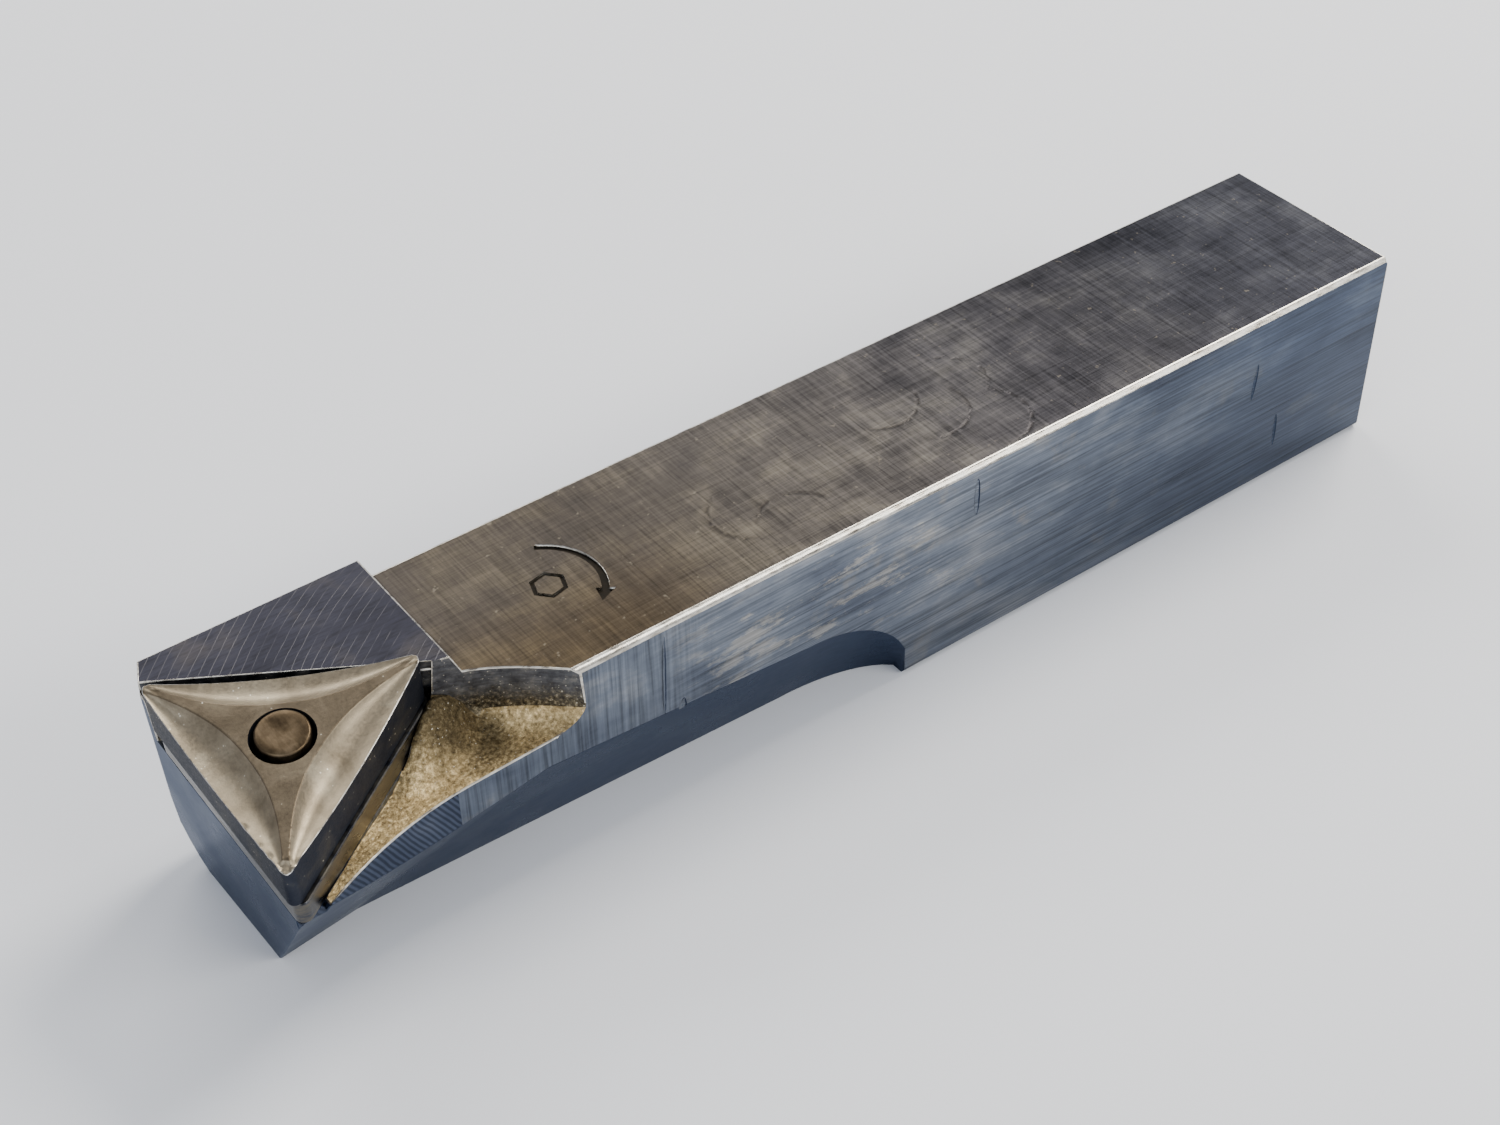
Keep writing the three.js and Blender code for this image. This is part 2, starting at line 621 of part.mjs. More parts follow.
// The clearance bevel along the near bottom edge. Its depth fades out to the rear as a round cutter
// leaves it.
function reliefWedge() {
  const section = (x, height, width) => {
    const slope = width / height;
    const over = 2 * NOSE_OFFSET;
    return [
      new THREE.Vector3(x, NEAR_Y - over, -over),
      new THREE.Vector3(x, NEAR_Y + width + over * slope, -over),
      new THREE.Vector3(x, NEAR_Y - over, height + over / slope),
    ];
  };
  const start = NOSE_X + RELIEF_LENGTH;
  const sections = [section(CLEAR_X, RELIEF_HEIGHT_FRONT, RELIEF_WIDTH)];
  for (let i = 0; i < RELIEF_STEPS; i++) {
    const share = i / RELIEF_STEPS;
    const fade = Math.sqrt(1 - share ** 2);
    const x = start + RELIEF_RUNOUT * share;
    sections.push(section(x, RELIEF_HEIGHT_REAR * fade, RELIEF_WIDTH * fade));
  }
  return loft(sections);
}

function roundedFarCorner(holder) {
  const centreY = FAR_Y - FAR_CORNER_RADIUS;
  let rounded = holder;
  for (let i = 0; i < FAR_CORNER_FACETS; i++) {
    const angle = (((i + 0.5) / FAR_CORNER_FACETS) * Math.PI) / 2;
    const normal = new THREE.Vector3(-FAR_CORNER_FADE, Math.cos(angle), -Math.sin(angle));
    const point = new THREE.Vector3(
      NOSE_X,
      centreY + FAR_CORNER_RADIUS * Math.cos(angle),
      FAR_CORNER_RADIUS * (1 - Math.sin(angle)),
    );
    rounded = trimmed(rounded, normal, point);
  }
  return rounded;
}

// The head's front face under the seat, and the bevel on its far upright edge.
function trimmedFront(holder) {
  const normal = new THREE.Vector3(FRONT_NORMAL.x, FRONT_NORMAL.y, 0).transformDirection(POCKET);
  const point = new THREE.Vector3(SEAT_FRONT_INSET - INRADIUS, 0, 0).applyMatrix4(POCKET);
  const flat = trimmed(holder, normal, point);
  const angle = THREE.MathUtils.degToRad(FRONT_BEVEL_ANGLE);
  const bevel = new THREE.Vector3(-Math.cos(angle), Math.sin(angle), 0);
  return trimmed(flat, bevel, new THREE.Vector3(NOSE_X + FRONT_BEVEL_SETBACK, FAR_Y, 0));
}

function pinBores() {
  const below = PIN_END - CUTTER_REACH;
  const bore = solidFrom(roundBar(BORE_RADIUS, below, POCKET_FLOOR + CUTTER_OVERSHOOT), POCKET);
  const counterbore = roundBar(COUNTERBORE_RADIUS, below, COUNTERBORE_FLOOR);
  return bore.add(solidFrom(counterbore, POCKET));
}

function holderGeometry() {
  let holder = solidFrom(shankBar()).add(solidFrom(boss())).add(solidFrom(noseFlare()));
  holder = holder.subtract(solidFrom(gulletRoom())).subtract(pocketRoom()).add(pedestal());
  holder = trimmedFront(holder);
  holder = trimmed(holder, new THREE.Vector3(0, 0, -1), new THREE.Vector3());
  holder = holder.subtract(solidFrom(reliefWedge()));
  return geometryFrom(roundedFarCorner(holder).subtract(pinBores()));
}

// ---- Assembly ----
function steel(color, roughness, metalness) {
  return new THREE.MeshStandardMaterial({ color, roughness, metalness });
}

function named(name, geometry, material) {
  const mesh = new THREE.Mesh(geometry, material);
  mesh.name = name;
  return mesh;
}

const tool = new THREE.Group();
tool.add(named("holder", holderGeometry(), steel(0x4a4640, 0.45, 0.9)));

const pocket = new THREE.Group();
pocket.applyMatrix4(POCKET);
pocket.add(named("seat", seatGeometry(), steel(0x5a5c66, 0.4, 0.9)));
pocket.add(named("insert", insertGeometry(), steel(0x8c8374, 0.5, 0.8)));
pocket.add(named("cam_pin", camPinGeometry(), steel(0x6a5c48, 0.4, 0.9)));
pocket.add(named("wave_washer", washerGeometry(), steel(0x77797c, 0.35, 1)));
pocket.add(named("retaining_ring", retainingRingGeometry(), steel(0x3a3a3c, 0.4, 0.9)));
tool.add(pocket);

export default tool;
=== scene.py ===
import json
import math

import bmesh
import bpy
from mathutils import Euler, Matrix, Vector, noise


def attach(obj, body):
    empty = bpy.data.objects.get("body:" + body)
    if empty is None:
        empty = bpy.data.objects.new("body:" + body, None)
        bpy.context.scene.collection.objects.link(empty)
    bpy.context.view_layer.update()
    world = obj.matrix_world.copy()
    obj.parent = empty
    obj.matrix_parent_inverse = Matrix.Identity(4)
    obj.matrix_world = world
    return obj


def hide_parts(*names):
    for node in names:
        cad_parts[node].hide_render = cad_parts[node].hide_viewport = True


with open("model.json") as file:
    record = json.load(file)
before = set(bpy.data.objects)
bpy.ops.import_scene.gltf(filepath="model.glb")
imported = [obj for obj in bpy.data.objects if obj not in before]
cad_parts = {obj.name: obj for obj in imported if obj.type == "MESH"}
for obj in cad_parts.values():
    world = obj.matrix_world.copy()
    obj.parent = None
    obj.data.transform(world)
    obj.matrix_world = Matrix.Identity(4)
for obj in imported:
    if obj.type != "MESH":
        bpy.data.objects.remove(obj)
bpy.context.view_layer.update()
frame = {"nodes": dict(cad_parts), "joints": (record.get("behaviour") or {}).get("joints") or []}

MM = 0.001
HOLDER_BODY = "holder_body"
PIN_BODY = "cam_pin_body"
INSERT_BODY = "insert_body"

# ---- The pocket's own frame: the insert's centre, +Z square to it, -X to the front ----
LEAD_ANGLE = math.radians(2)
BACK_RAKE = math.radians(4.4)
SIDE_RAKE = math.radians(8)
PIN_JOINT = next(j for j in frame["joints"] if j["name"] == "cam_pin_turn")
POCKET = (
    Matrix.Translation(Vector(PIN_JOINT["pos_m"]))
    @ Matrix.Rotation(SIDE_RAKE, 4, "X")
    @ Matrix.Rotation(-BACK_RAKE, 4, "Y")
    @ Matrix.Rotation(LEAD_ANGLE, 4, "Z")
)
PIN_UP = (POCKET.to_3x3() @ Vector((0, 0, 1))).normalized()

# ---- Insert, millimetres ----
INRADIUS = 15.875 / 2
HALF_SIDE = INRADIUS * math.sqrt(3)
THICKNESS = 6.35
NOSE_RADIUS = 0.8
HOLE_RADIUS = 3.2
EDGE_SAG = 1.6
LAND_DROP = 0.3
TOP_SKIN = 0.03  # the worn top lies this far below a new insert's
HONE = 0.07  # bevel of the worn cutting edges
FOOT_BEVEL = 0.1
HOLE_FLARE = 0.06  # the hole is wider at the top
HOLE_RIM = 0.35  # height of that wider part
SCOOP_WIDTH = 4.05
SCOOP_DEPTH = 0.25
SCOOP_STEEPNESS = 3.5
SCOOP_BULGE = 2.2
SCOOP_TAPER = 1.3
NORMALS = [(-1.0, 0.0), (0.5, -math.sqrt(3) / 2), (0.5, math.sqrt(3) / 2)]

# ---- Seat and pin, millimetres ----
REST_GAP = 0.05
SEAT_TOP = -(THICKNESS + REST_GAP)
SEAT_BOTTOM = SEAT_TOP - 3.18
SEAT_BEVEL = 0.12
SEAT_CORNER_RADIUS = 1.0
SEAT_SIDES = [INRADIUS - 0.3, INRADIUS + 0.4, INRADIUS - 0.1]  # front, gullet and wall side from the pin
COLLAR_ROOM = 0.15  # between the pin's collar and the seat's counterbore
BORE_ROOM = 0.05
CAM_THROW = 0.32
JOURNAL_RADIUS = HOLE_RADIUS - 0.25
HEAD_RADIUS = HOLE_RADIUS - CAM_THROW - 0.12
COLLAR_RADIUS = JOURNAL_RADIUS + 0.9
COLLAR_TOP = SEAT_TOP - REST_GAP
COLLAR_THICKNESS = 1.4
COLLAR_BEVEL = 0.1
GROOVE_DEPTH = 0.55
GROOVE_RISE = 1.1  # the retaining ring's foot above the pin's lower end
RING_THICKNESS = 0.8
RING_ROOM = 0.025  # above and below the ring in its groove
PIN_CHAMFER = 0.3
HEAD_ROOT = 0.7  # how far the head's own solid runs down into the collar
SOCKET_ACROSS_FLATS = 3.175
SOCKET_DEPTH = 3.6

# ---- Holder, millimetres ----
SHANK_TOP = 25.4
NEAR_Y = -12.7
ROOT_X, ROOT_Y = -53.54, -4.79  # the insert's sharp rear corner
BOSS_REAR = -51.2
GULLET_REAR = -40.9
BOSS_LEVEL = 27.0  # the boss's top lies above this, the shank's below
BORE_MOUTH = 4.3  # the pin's bore lies inside this radius
TOOL_LINE_CENTRE = (-23.4, -39.4)  # of the milled curves on the boss
TOOL_LINE_STEP = 0.96
FLARE_STRIPE_STEP = 0.58


# ---- Mesh helpers ----
def object_from(name, verts, faces, materials, face_slots=None):
    mesh = bpy.data.meshes.new(name)
    mesh.from_pydata([tuple(v) for v in verts], [], faces)
    mesh.validate()
    for material in materials:
        mesh.materials.append(material)
    if face_slots is not None:
        mesh.polygons.foreach_set("material_index", face_slots)
    obj = bpy.data.objects.new(name, mesh)
    bpy.context.scene.collection.objects.link(obj)
    return obj


def smooth(obj, degrees):
    obj.data.shade_smooth()
    obj.data.set_sharp_from_angle(angle=math.radians(degrees))


def placed(points):
    """Points of the pocket's frame in millimetres, in the row frame in metres."""
    return [POCKET @ (Vector(p) * MM) for p in points]


def rings_mesh(sections, closed):
    """Quads between equal rings of points; a closed band joins its last ring to its first."""
    count = len(sections[0])
    faces = []
    for s in range(len(sections) if closed else len(sections) - 1):
        row, after = s * count, ((s + 1) % len(sections)) * count
        for i in range(count):
            j = (i + 1) % count
            faces.append((row + i, after + i, after + j, row + j))
    return [p for ring in sections for p in ring], faces


def turned(outline, segments, shift=(0.0, 0.0)):
    """A turned solid about the pocket's Z from (radius, height) pairs that start and end on the axis."""
    verts, faces = [], []
    inner = outline[1:-1]
    for radius, height in inner:
        for i in range(segments):
            a = 2 * math.pi * i / segments
            verts.append((radius * math.cos(a) + shift[0], radius * math.sin(a) + shift[1], height))
    for k in range(len(inner) - 1):
        for i in range(segments):
            j = (i + 1) % segments
            a, b = k * segments, (k + 1) * segments
            faces.append((a + i, a + j, b + j, b + i))
    low, high = len(verts), len(verts) + 1
    verts += [(shift[0], shift[1], outline[0][1]), (shift[0], shift[1], outline[-1][1])]
    last = (len(inner) - 1) * segments
    for i in range(segments):
        j = (i + 1) % segments
        faces.append((low, j, i))
        faces.append((high, last + i, last + j))
    return verts, faces


def prism(points, bottom, top):
    """A prism of a flat outline of (x, y), which may run either way round."""
    n = len(points)
    turn = sum(a[0] * b[1] - a[1] * b[0] for a, b in zip(points, points[1:] + points[:1]))
    if turn < 0:
        points = points[::-1]
    verts = [(x, y, bottom) for x, y in points] + [(x, y, top) for x, y in points]
    faces = [tuple(range(n - 1, -1, -1)), tuple(range(n, 2 * n))]
    faces += [(i, (i + 1) % n, n + (i + 1) % n, n + i) for i in range(n)]
    return verts, faces


def ring_outline(centre, radius, sides, turn):
    """A regular polygon's corners."""
    angles = [turn + 2 * math.pi * i / sides for i in range(sides)]
    return [(centre[0] + radius * math.cos(a), centre[1] + radius * math.sin(a)) for a in angles]


def boolean(target, cutter, operation):
    """Joins or cuts one object with another, which is used up."""
    modifier = target.modifiers.new("cut", "BOOLEAN")
    modifier.operation = operation
    modifier.solver = "EXACT"
    modifier.object = cutter
    applied(target)
    bpy.data.objects.remove(cutter)


def applied(obj):
    """Turns an object's modifiers into its mesh."""
    bpy.context.view_layer.update()
    graph = bpy.context.evaluated_depsgraph_get()
    mesh = bpy.data.meshes.new_from_object(obj.evaluated_get(graph), depsgraph=graph)
    obj.modifiers.clear()
    old = obj.data
    obj.data = mesh
    bpy.data.meshes.remove(old)


# ---- Materials: noise scales are per metre, places and depths in metres, colours linear ----
class Surface:
    """A Principled material built up from noise in the object's own coordinates, in metres."""

    def __init__(self, name, metallic=1.0):
        self.material = bpy.data.materials.new(name)
        self.material.use_nodes = True
        self.tree = self.material.node_tree
        self.bsdf = self.tree.nodes["Principled BSDF"]
        self.bsdf.inputs["Metallic"].default_value = metallic
        self.coords = self.node("ShaderNodeTexCoord").outputs["Object"]
        self.split = self.node("ShaderNodeSeparateXYZ")
        self.link(self.coords, self.split.inputs[0])
        self.height = None

    def node(self, kind, **values):
        made = self.tree.nodes.new(kind)
        for key, value in values.items():
            setattr(made, key, value)
        return made

    def link(self, a, b):
        self.tree.links.new(a, b)

    def feed(self, socket, value):
        if isinstance(value, (int, float, tuple)):
            socket.default_value = value
        else:
            self.link(value, socket)

    def mapping(self, scale, turn=(0, 0, 0)):
        made = self.node("ShaderNodeMapping")
        made.inputs["Scale"].default_value = scale
        made.inputs["Rotation"].default_value = turn
        self.link(self.coords, made.inputs["Vector"])
        return made.outputs[0]

    def noise(self, scale, detail=4.0, rough=0.55, turn=(0, 0, 0), distortion=0.0):
        made = self.node("ShaderNodeTexNoise")
        self.link(self.mapping(scale, turn), made.inputs["Vector"])
        made.inputs["Scale"].default_value = 1.0
        made.inputs["Detail"].default_value = detail
        made.inputs["Roughness"].default_value = rough
        made.inputs["Distortion"].default_value = distortion
        return made.outputs["Fac"]

    def cells(self, scale):
        made = self.node("ShaderNodeTexVoronoi")
        self.link(self.mapping(scale), made.inputs["Vector"])
        made.inputs["Scale"].default_value = 1.0
        return made.outputs["Distance"]

    def math(self, operation, a, b=0.0):
        made = self.node("ShaderNodeMath", operation=operation)
        self.feed(made.inputs[0], a)
        self.feed(made.inputs[1], b)
        return made.outputs[0]

    def span(self, value, low, high, to_low=0.0, to_high=1.0, smooth_step=True):
        made = self.node("ShaderNodeMapRange", clamp=True)
        made.interpolation_type = "SMOOTHSTEP" if smooth_step else "LINEAR"
        self.feed(made.inputs["Value"], value)
        made.inputs["From Min"].default_value = low
        made.inputs["From Max"].default_value = high
        made.inputs["To Min"].default_value = to_low
        made.inputs["To Max"].default_value = to_high
        return made.outputs["Result"]

    def ramp(self, value, stops):
        made = self.node("ShaderNodeValToRGB")
        self.link(value, made.inputs["Fac"])
        elements = made.color_ramp.elements
        while len(elements) < len(stops):
            elements.new(0.5)
        for element, (place, color) in zip(elements, stops):
            element.position = place
            element.color = (*color, 1.0)
        return made.outputs["Color"]

    def mix(self, factor, a, b, blend="MIX"):
        made = self.node("ShaderNodeMix", data_type="RGBA", blend_type=blend)
        self.feed(made.inputs["Factor"], factor)
        for socket, value in ((made.inputs[6], a), (made.inputs[7], b)):
            self.feed(socket, (*value, 1.0) if isinstance(value, tuple) else value)
        return made.outputs[2]

    def scaled(self, color, factor):
        """A colour times a grey factor."""
        combine = self.node("ShaderNodeCombineColor")
        for channel in combine.inputs[:3]:
            self.link(factor, channel)
        return self.mix(1.0, color, combine.outputs[0], "MULTIPLY")

    def add_height(self, value, depth):
        """Adds a relief of that depth in metres to the bump."""
        part = self.math("MULTIPLY", value, depth)
        self.height = part if self.height is None else self.math("ADD", self.height, part)

    def along(self, axis, low, high):
        """0 at the place low on an axis, in metres, and 1 at the place high."""
        return self.span(self.split.outputs[axis], low, high)

    def tinted(self, factor, color, tint):
        """A colour, multiplied by a tint where the factor is 1."""
        return self.mix(factor, color, self.mix(1.0, color, tint, "MULTIPLY"))

    def offset(self, centre):
        """How far a place is from a centre in millimetres, along X and along Y, in metres."""
        x = self.math("SUBTRACT", self.split.outputs["X"], centre[0] * MM)
        y = self.math("SUBTRACT", self.split.outputs["Y"], centre[1] * MM)
        return x, y

    def length(self, x, y):
        squares = self.math("ADD", self.math("MULTIPLY", x, x), self.math("MULTIPLY", y, y))
        return self.math("SQRT", squares)

    def ring(self, centre, radius, width, side):
        """1 on the part of a circle's line that lies on one side of the centre, 0 off it. Millimetres."""
        x, y = self.offset(centre)
        away = self.math("ABSOLUTE", self.math("SUBTRACT", self.length(x, y), radius * MM))
        line = self.span(away, width * MM, 0.0)
        ahead = self.math("ADD", self.math("MULTIPLY", x, side[0]), self.math("MULTIPLY", y, side[1]))
        return self.math("MULTIPLY", line, self.span(ahead, 0.0, radius * MM * 0.8))

    def finish(self, color, rough):
        self.feed(self.bsdf.inputs["Base Color"], color)
        self.feed(self.bsdf.inputs["Roughness"], rough)
        if self.height is not None:
            bump = self.node("ShaderNodeBump")
            bump.inputs["Strength"].default_value = 1.0
            bump.inputs["Distance"].default_value = 1.0
            self.link(self.height, bump.inputs["Height"])
            self.link(bump.outputs[0], self.bsdf.inputs["Normal"])
        return self.material


def top_material():
    """The shank's top: brown oxide, fine cross brushing, stains, clamp-screw marks, painted shade at the
    rear and a painted highlight in the middle.
    """
    s = Surface("holder_top_steel")
    blotch = s.noise((95, 120, 95), 9.0, 0.68, distortion=0.25)
    along = s.noise((90, 4200, 300), 3.0)
    across = s.noise((4200, 110, 300), 3.0)
    slanted = s.noise((3000, 160, 300), 2.0, turn=(0, 0, math.radians(28)))
    color = s.ramp(
        blotch,
        [(0.32, (0.026, 0.022, 0.019)), (0.50, (0.044, 0.037, 0.030)), (0.66, (0.074, 0.062, 0.046))],
    )
    # Painted shade: cooler and darker towards the rear. Golden by the head's near edge. Painted highlight:
    # lighter in the middle.
    rear_shade = s.along("X", -0.012, 0.070)
    color = s.mix(rear_shade, color, s.scaled(color, s.span(blotch, 0.2, 0.8, 0.78, 0.84)))
    color = s.tinted(rear_shade, color, (0.80, 0.98, 1.50))
    gold = s.math("MULTIPLY", s.along("X", -0.018, -0.034), s.along("Y", 0.004, -0.011))
    color = s.tinted(s.math("MULTIPLY", gold, 0.8), color, (1.05, 0.90, 0.62))
    # Painted highlight: lighter in the middle.
    middle = s.math("MULTIPLY", s.along("X", -0.032, 0.000), s.along("X", 0.045, 0.008))
    color = s.tinted(middle, color, (1.75, 1.85, 2.0))
    grain = s.math("ADD", s.math("ADD", along, across), slanted)
    color = s.scaled(color, s.span(grain, 1.1, 1.9, 0.55, 1.50, False))
    flecks = s.span(s.noise((900, 900, 900), 2.0, 0.8), 0.66, 0.76)
    color = s.mix(s.math("MULTIPLY", flecks, 0.35), color, (0.24, 0.21, 0.16))
    # Centre, radius and open side of each curved scratch, in millimetres.
    scratches = [
        ((17.0, -6.5), 5.2, (0.9, -0.44)),
        ((12.5, -1.5), 5.0, (0.6, -0.8)),
        ((18.0, 1.0), 4.6, (1.0, 0.2)),
        ((9.0, 3.0), 4.8, (0.3, -0.95)),
        ((-13.5, -3.5), 4.4, (-1.0, 0.1)),
        ((-10.0, -8.0), 4.6, (0.2, 1.0)),
    ]
    pressed = None
    for centre, radius, side in scratches:
        line = s.ring(centre, radius, 0.50, side)
        pressed = line if pressed is None else s.math("MAXIMUM", pressed, line)
    pressed = s.math("MULTIPLY", pressed, s.span(s.noise((800, 800, 800), 2.0), 0.35, 0.55))
    color = s.mix(s.math("MULTIPLY", pressed, 0.6), color, (0.012, 0.010, 0.009))
    s.add_height(grain, 0.000009)
    s.add_height(blotch, 0.00002)
    s.add_height(pressed, -0.00005)
    rough = s.span(s.math("ADD", blotch, s.math("MULTIPLY", grain, 0.3)), 0.5, 1.3, 0.30, 0.52)
    return s.finish(color, rough)


def side_material():
    """Ground shank sides: lengthwise brushing at the rear, upright brushing by the head, warm patches,
    painted shade at the rear and bottom, and a painted highlight in the middle.
    """
    s = Surface("holder_side_steel")
    dark, tint, light = (0.052, 0.063, 0.088), (0.102, 0.120, 0.152), (0.190, 0.204, 0.226)
    lengthwise = s.noise((60, 500, 3600), 3.0)
    upright = s.noise((3000, 500, 80), 3.0)
    headness = s.along("X", -0.022, -0.036)
    grain = s.node("ShaderNodeMix", data_type="FLOAT")
    s.feed(grain.inputs[0], headness)
    s.link(lengthwise, grain.inputs[2])
    s.link(upright, grain.inputs[3])
    grain = grain.outputs[0]
    blotch = s.noise((70, 200, 150), 7.0, 0.62, distortion=0.2)
    color = s.ramp(blotch, [(0.32, dark), (0.52, tint), (0.70, light)])
    warm = s.span(s.noise((150, 300, 190), 5.0, 0.6), 0.58, 0.70)
    color = s.mix(s.math("MULTIPLY", warm, 0.30), color, (0.23, 0.21, 0.17))
    worn = s.span(s.noise((70, 10, 230), 8.0, 0.75), 0.53, 0.60)
    worn = s.math("MULTIPLY", worn, s.along("Z", 0.006, 0.013))
    worn_length = s.math("MULTIPLY", s.along("X", -0.034, -0.020), s.along("X", 0.016, 0.004))
    worn = s.math("MULTIPLY", worn, worn_length)
    color = s.mix(s.math("MULTIPLY", worn, 0.45), color, (0.30, 0.29, 0.26))
    # Painted highlight: lighter along the middle.
    middle_highlight = s.math("MULTIPLY", s.along("X", -0.050, -0.020), s.along("X", 0.040, 0.010))
    color = s.tinted(middle_highlight, color, (1.55, 1.50, 1.42))
    # Painted shade: darker and bluer towards the rear.
    rear = s.along("X", 0.012, 0.066)
    color = s.tinted(rear, color, (0.46, 0.53, 0.65))
    # Painted shade: darker towards the bottom.
    lower = s.along("Z", 0.024, 0.002)
    color = s.mix(s.math("MULTIPLY", lower, 0.55), color, dark)
    color = s.scaled(color, s.span(grain, 0.32, 0.68, 0.62, 1.38, False))
    s.add_height(grain, 0.000012)
    rough = s.span(s.math("ADD", blotch, grain), 0.6, 1.4, 0.26, 0.46)
    return s.finish(color, rough)


def boss_material():
    """The boss's milled top: dark steel with pale curved tool lines."""
    s = Surface("holder_boss_steel")
    away = s.length(*s.offset(TOOL_LINE_CENTRE))
    wobble = s.math("MULTIPLY", s.noise((90, 90, 10), 2.0), 0.0009)
    phase = s.math("FRACT", s.math("DIVIDE", s.math("ADD", away, wobble), TOOL_LINE_STEP * MM))
    line = s.span(s.math("ABSOLUTE", s.math("SUBTRACT", phase, 0.5)), 0.085, 0.0)
    broken = s.span(s.noise((160, 160, 160), 3.0, 0.6), 0.34, 0.66)
    line = s.math("MULTIPLY", line, broken)
    fine = s.noise((500, 2800, 300), 2.0, turn=(0, 0, math.radians(-38)))
    blotch = s.noise((130, 130, 130), 6.0)
    color = s.ramp(
        blotch,
        [(0.30, (0.012, 0.012, 0.017)), (0.55, (0.020, 0.020, 0.027)), (0.75, (0.038, 0.034, 0.034))],
    )
    color = s.scaled(color, s.span(fine, 0.3, 0.7, 0.60, 1.5, False))
    color = s.mix(s.math("MULTIPLY", line, 0.42), color, (0.17, 0.165, 0.17))
    s.add_height(fine, 0.000008)
    s.add_height(line, -0.000018)
    return s.finish(color, s.span(fine, 0.3, 0.7, 0.34, 0.46))


def grit_material():
    """The gullet's blasted floor: golden brown grit with dark pits, painted glints on the grit, and painted
    shade by the seat's rear corner.
    """
    s = Surface("gullet_grit", 0.9)
    coarse = s.noise((2300, 2300, 2300), 5.0, 0.72)
    fine = s.noise((5200, 5200, 5200), 3.0, 0.7)
    blotch = s.noise((240, 240, 240), 4.0)
    color = s.ramp(
        coarse,
        [(0.30, (0.095, 0.066, 0.030)), (0.50, (0.330, 0.245, 0.120)), (0.70, (0.70, 0.55, 0.30))],
    )
    color = s.scaled(color, s.span(blotch, 0.3, 0.7, 0.80, 1.45))
    # Painted shade: darker beside the rear corner of the seat, deep in the gullet.
    away = s.length(*s.offset((ROOT_X + 1, ROOT_Y - 1)))
    corner_shade_distance = s.math("ADD", away, s.math("MULTIPLY", blotch, 0.004))
    color = s.scaled(color, s.span(corner_shade_distance, 0.0035, 0.0095, 0.22, 1.25))
    # Painted glints: bright specks on the grit.
    painted_glints = s.span(s.cells((2200, 2200, 2200)), 0.26, 0.10)
    bright = s.math("MULTIPLY", painted_glints, s.span(fine, 0.52, 0.64))
    color = s.mix(s.math("MULTIPLY", bright, 0.9), color, (0.95, 0.90, 0.76))
    s.add_height(coarse, 0.00012)
    s.add_height(fine, 0.00003)
    return s.finish(color, s.span(fine, 0.3, 0.7, 0.38, 0.62))


def wall_material():
    """The gullet's back wall and the pocket's walls: dark steel, gritty towards its foot."""
    s = Surface("gullet_wall_steel")
    coarse = s.noise((700, 700, 700), 5.0, 0.62)
    grain = s.noise((700, 700, 3400), 3.0)
    color = s.ramp(
        coarse,
        [(0.35, (0.050, 0.052, 0.060)), (0.55, (0.105, 0.106, 0.112)), (0.72, (0.210, 0.200, 0.180))],
    )
    color = s.scaled(color, s.span(grain, 0.3, 0.7, 0.75, 1.3, False))
    rough_noise = s.noise((2300, 2300, 2300), 5.0, 0.72)
    low = s.math("ADD", s.split.outputs["Z"], s.math("MULTIPLY", coarse, 0.003))
    foot = s.span(low, 0.0252, 0.0212)
    gritty = s.ramp(
        rough_noise,
        [(0.36, (0.020, 0.018, 0.014)), (0.52, (0.105, 0.088, 0.056)), (0.66, (0.42, 0.36, 0.24))],
    )
    color = s.mix(foot, color, gritty)
    # Painted glints: bright specks on the gritty foot.
    painted_glints = s.span(s.cells((2200, 2200, 2200)), 0.22, 0.10)
    painted_glints = s.math("MULTIPLY", painted_glints, s.span(rough_noise, 0.48, 0.58))
    color = s.mix(s.math("MULTIPLY", painted_glints, 0.7), color, (0.80, 0.76, 0.64))
    s.add_height(coarse, 0.00005)
    s.add_height(s.math("MULTIPLY", rough_noise, s.span(foot, 0.0, 1.0, 0.25, 1.0)), 0.0001)
    s.add_height(grain, 0.00001)
    return s.finish(color, s.span(coarse, 0.3, 0.7, 0.36, 0.56))


def front_material():
    """The smooth clearance faces under the insert: dark steel, its blue-grey colour and specular tint a
    painted reflection.
    """
    s = Surface("holder_front_steel_blue_reflection")
    # Painted reflection: a blue-grey specular tint and colour.
    s.bsdf.inputs["Specular Tint"].default_value = (0.60, 0.64, 0.72, 1.0)
    blotch = s.noise((120, 120, 120), 5.0, 0.55)
    grain = s.noise((400, 900, 2600), 2.0, turn=(math.radians(30), 0, 0))
    color = s.ramp(
        blotch,
        [(0.30, (0.024, 0.032, 0.054)), (0.55, (0.040, 0.051, 0.080)), (0.75, (0.066, 0.079, 0.110))],
    )
    color = s.scaled(color, s.span(grain, 0.3, 0.7, 0.85, 1.15, False))
    s.add_height(grain, 0.000005)
    return s.finish(color, s.span(blotch, 0.3, 0.7, 0.24, 0.36))


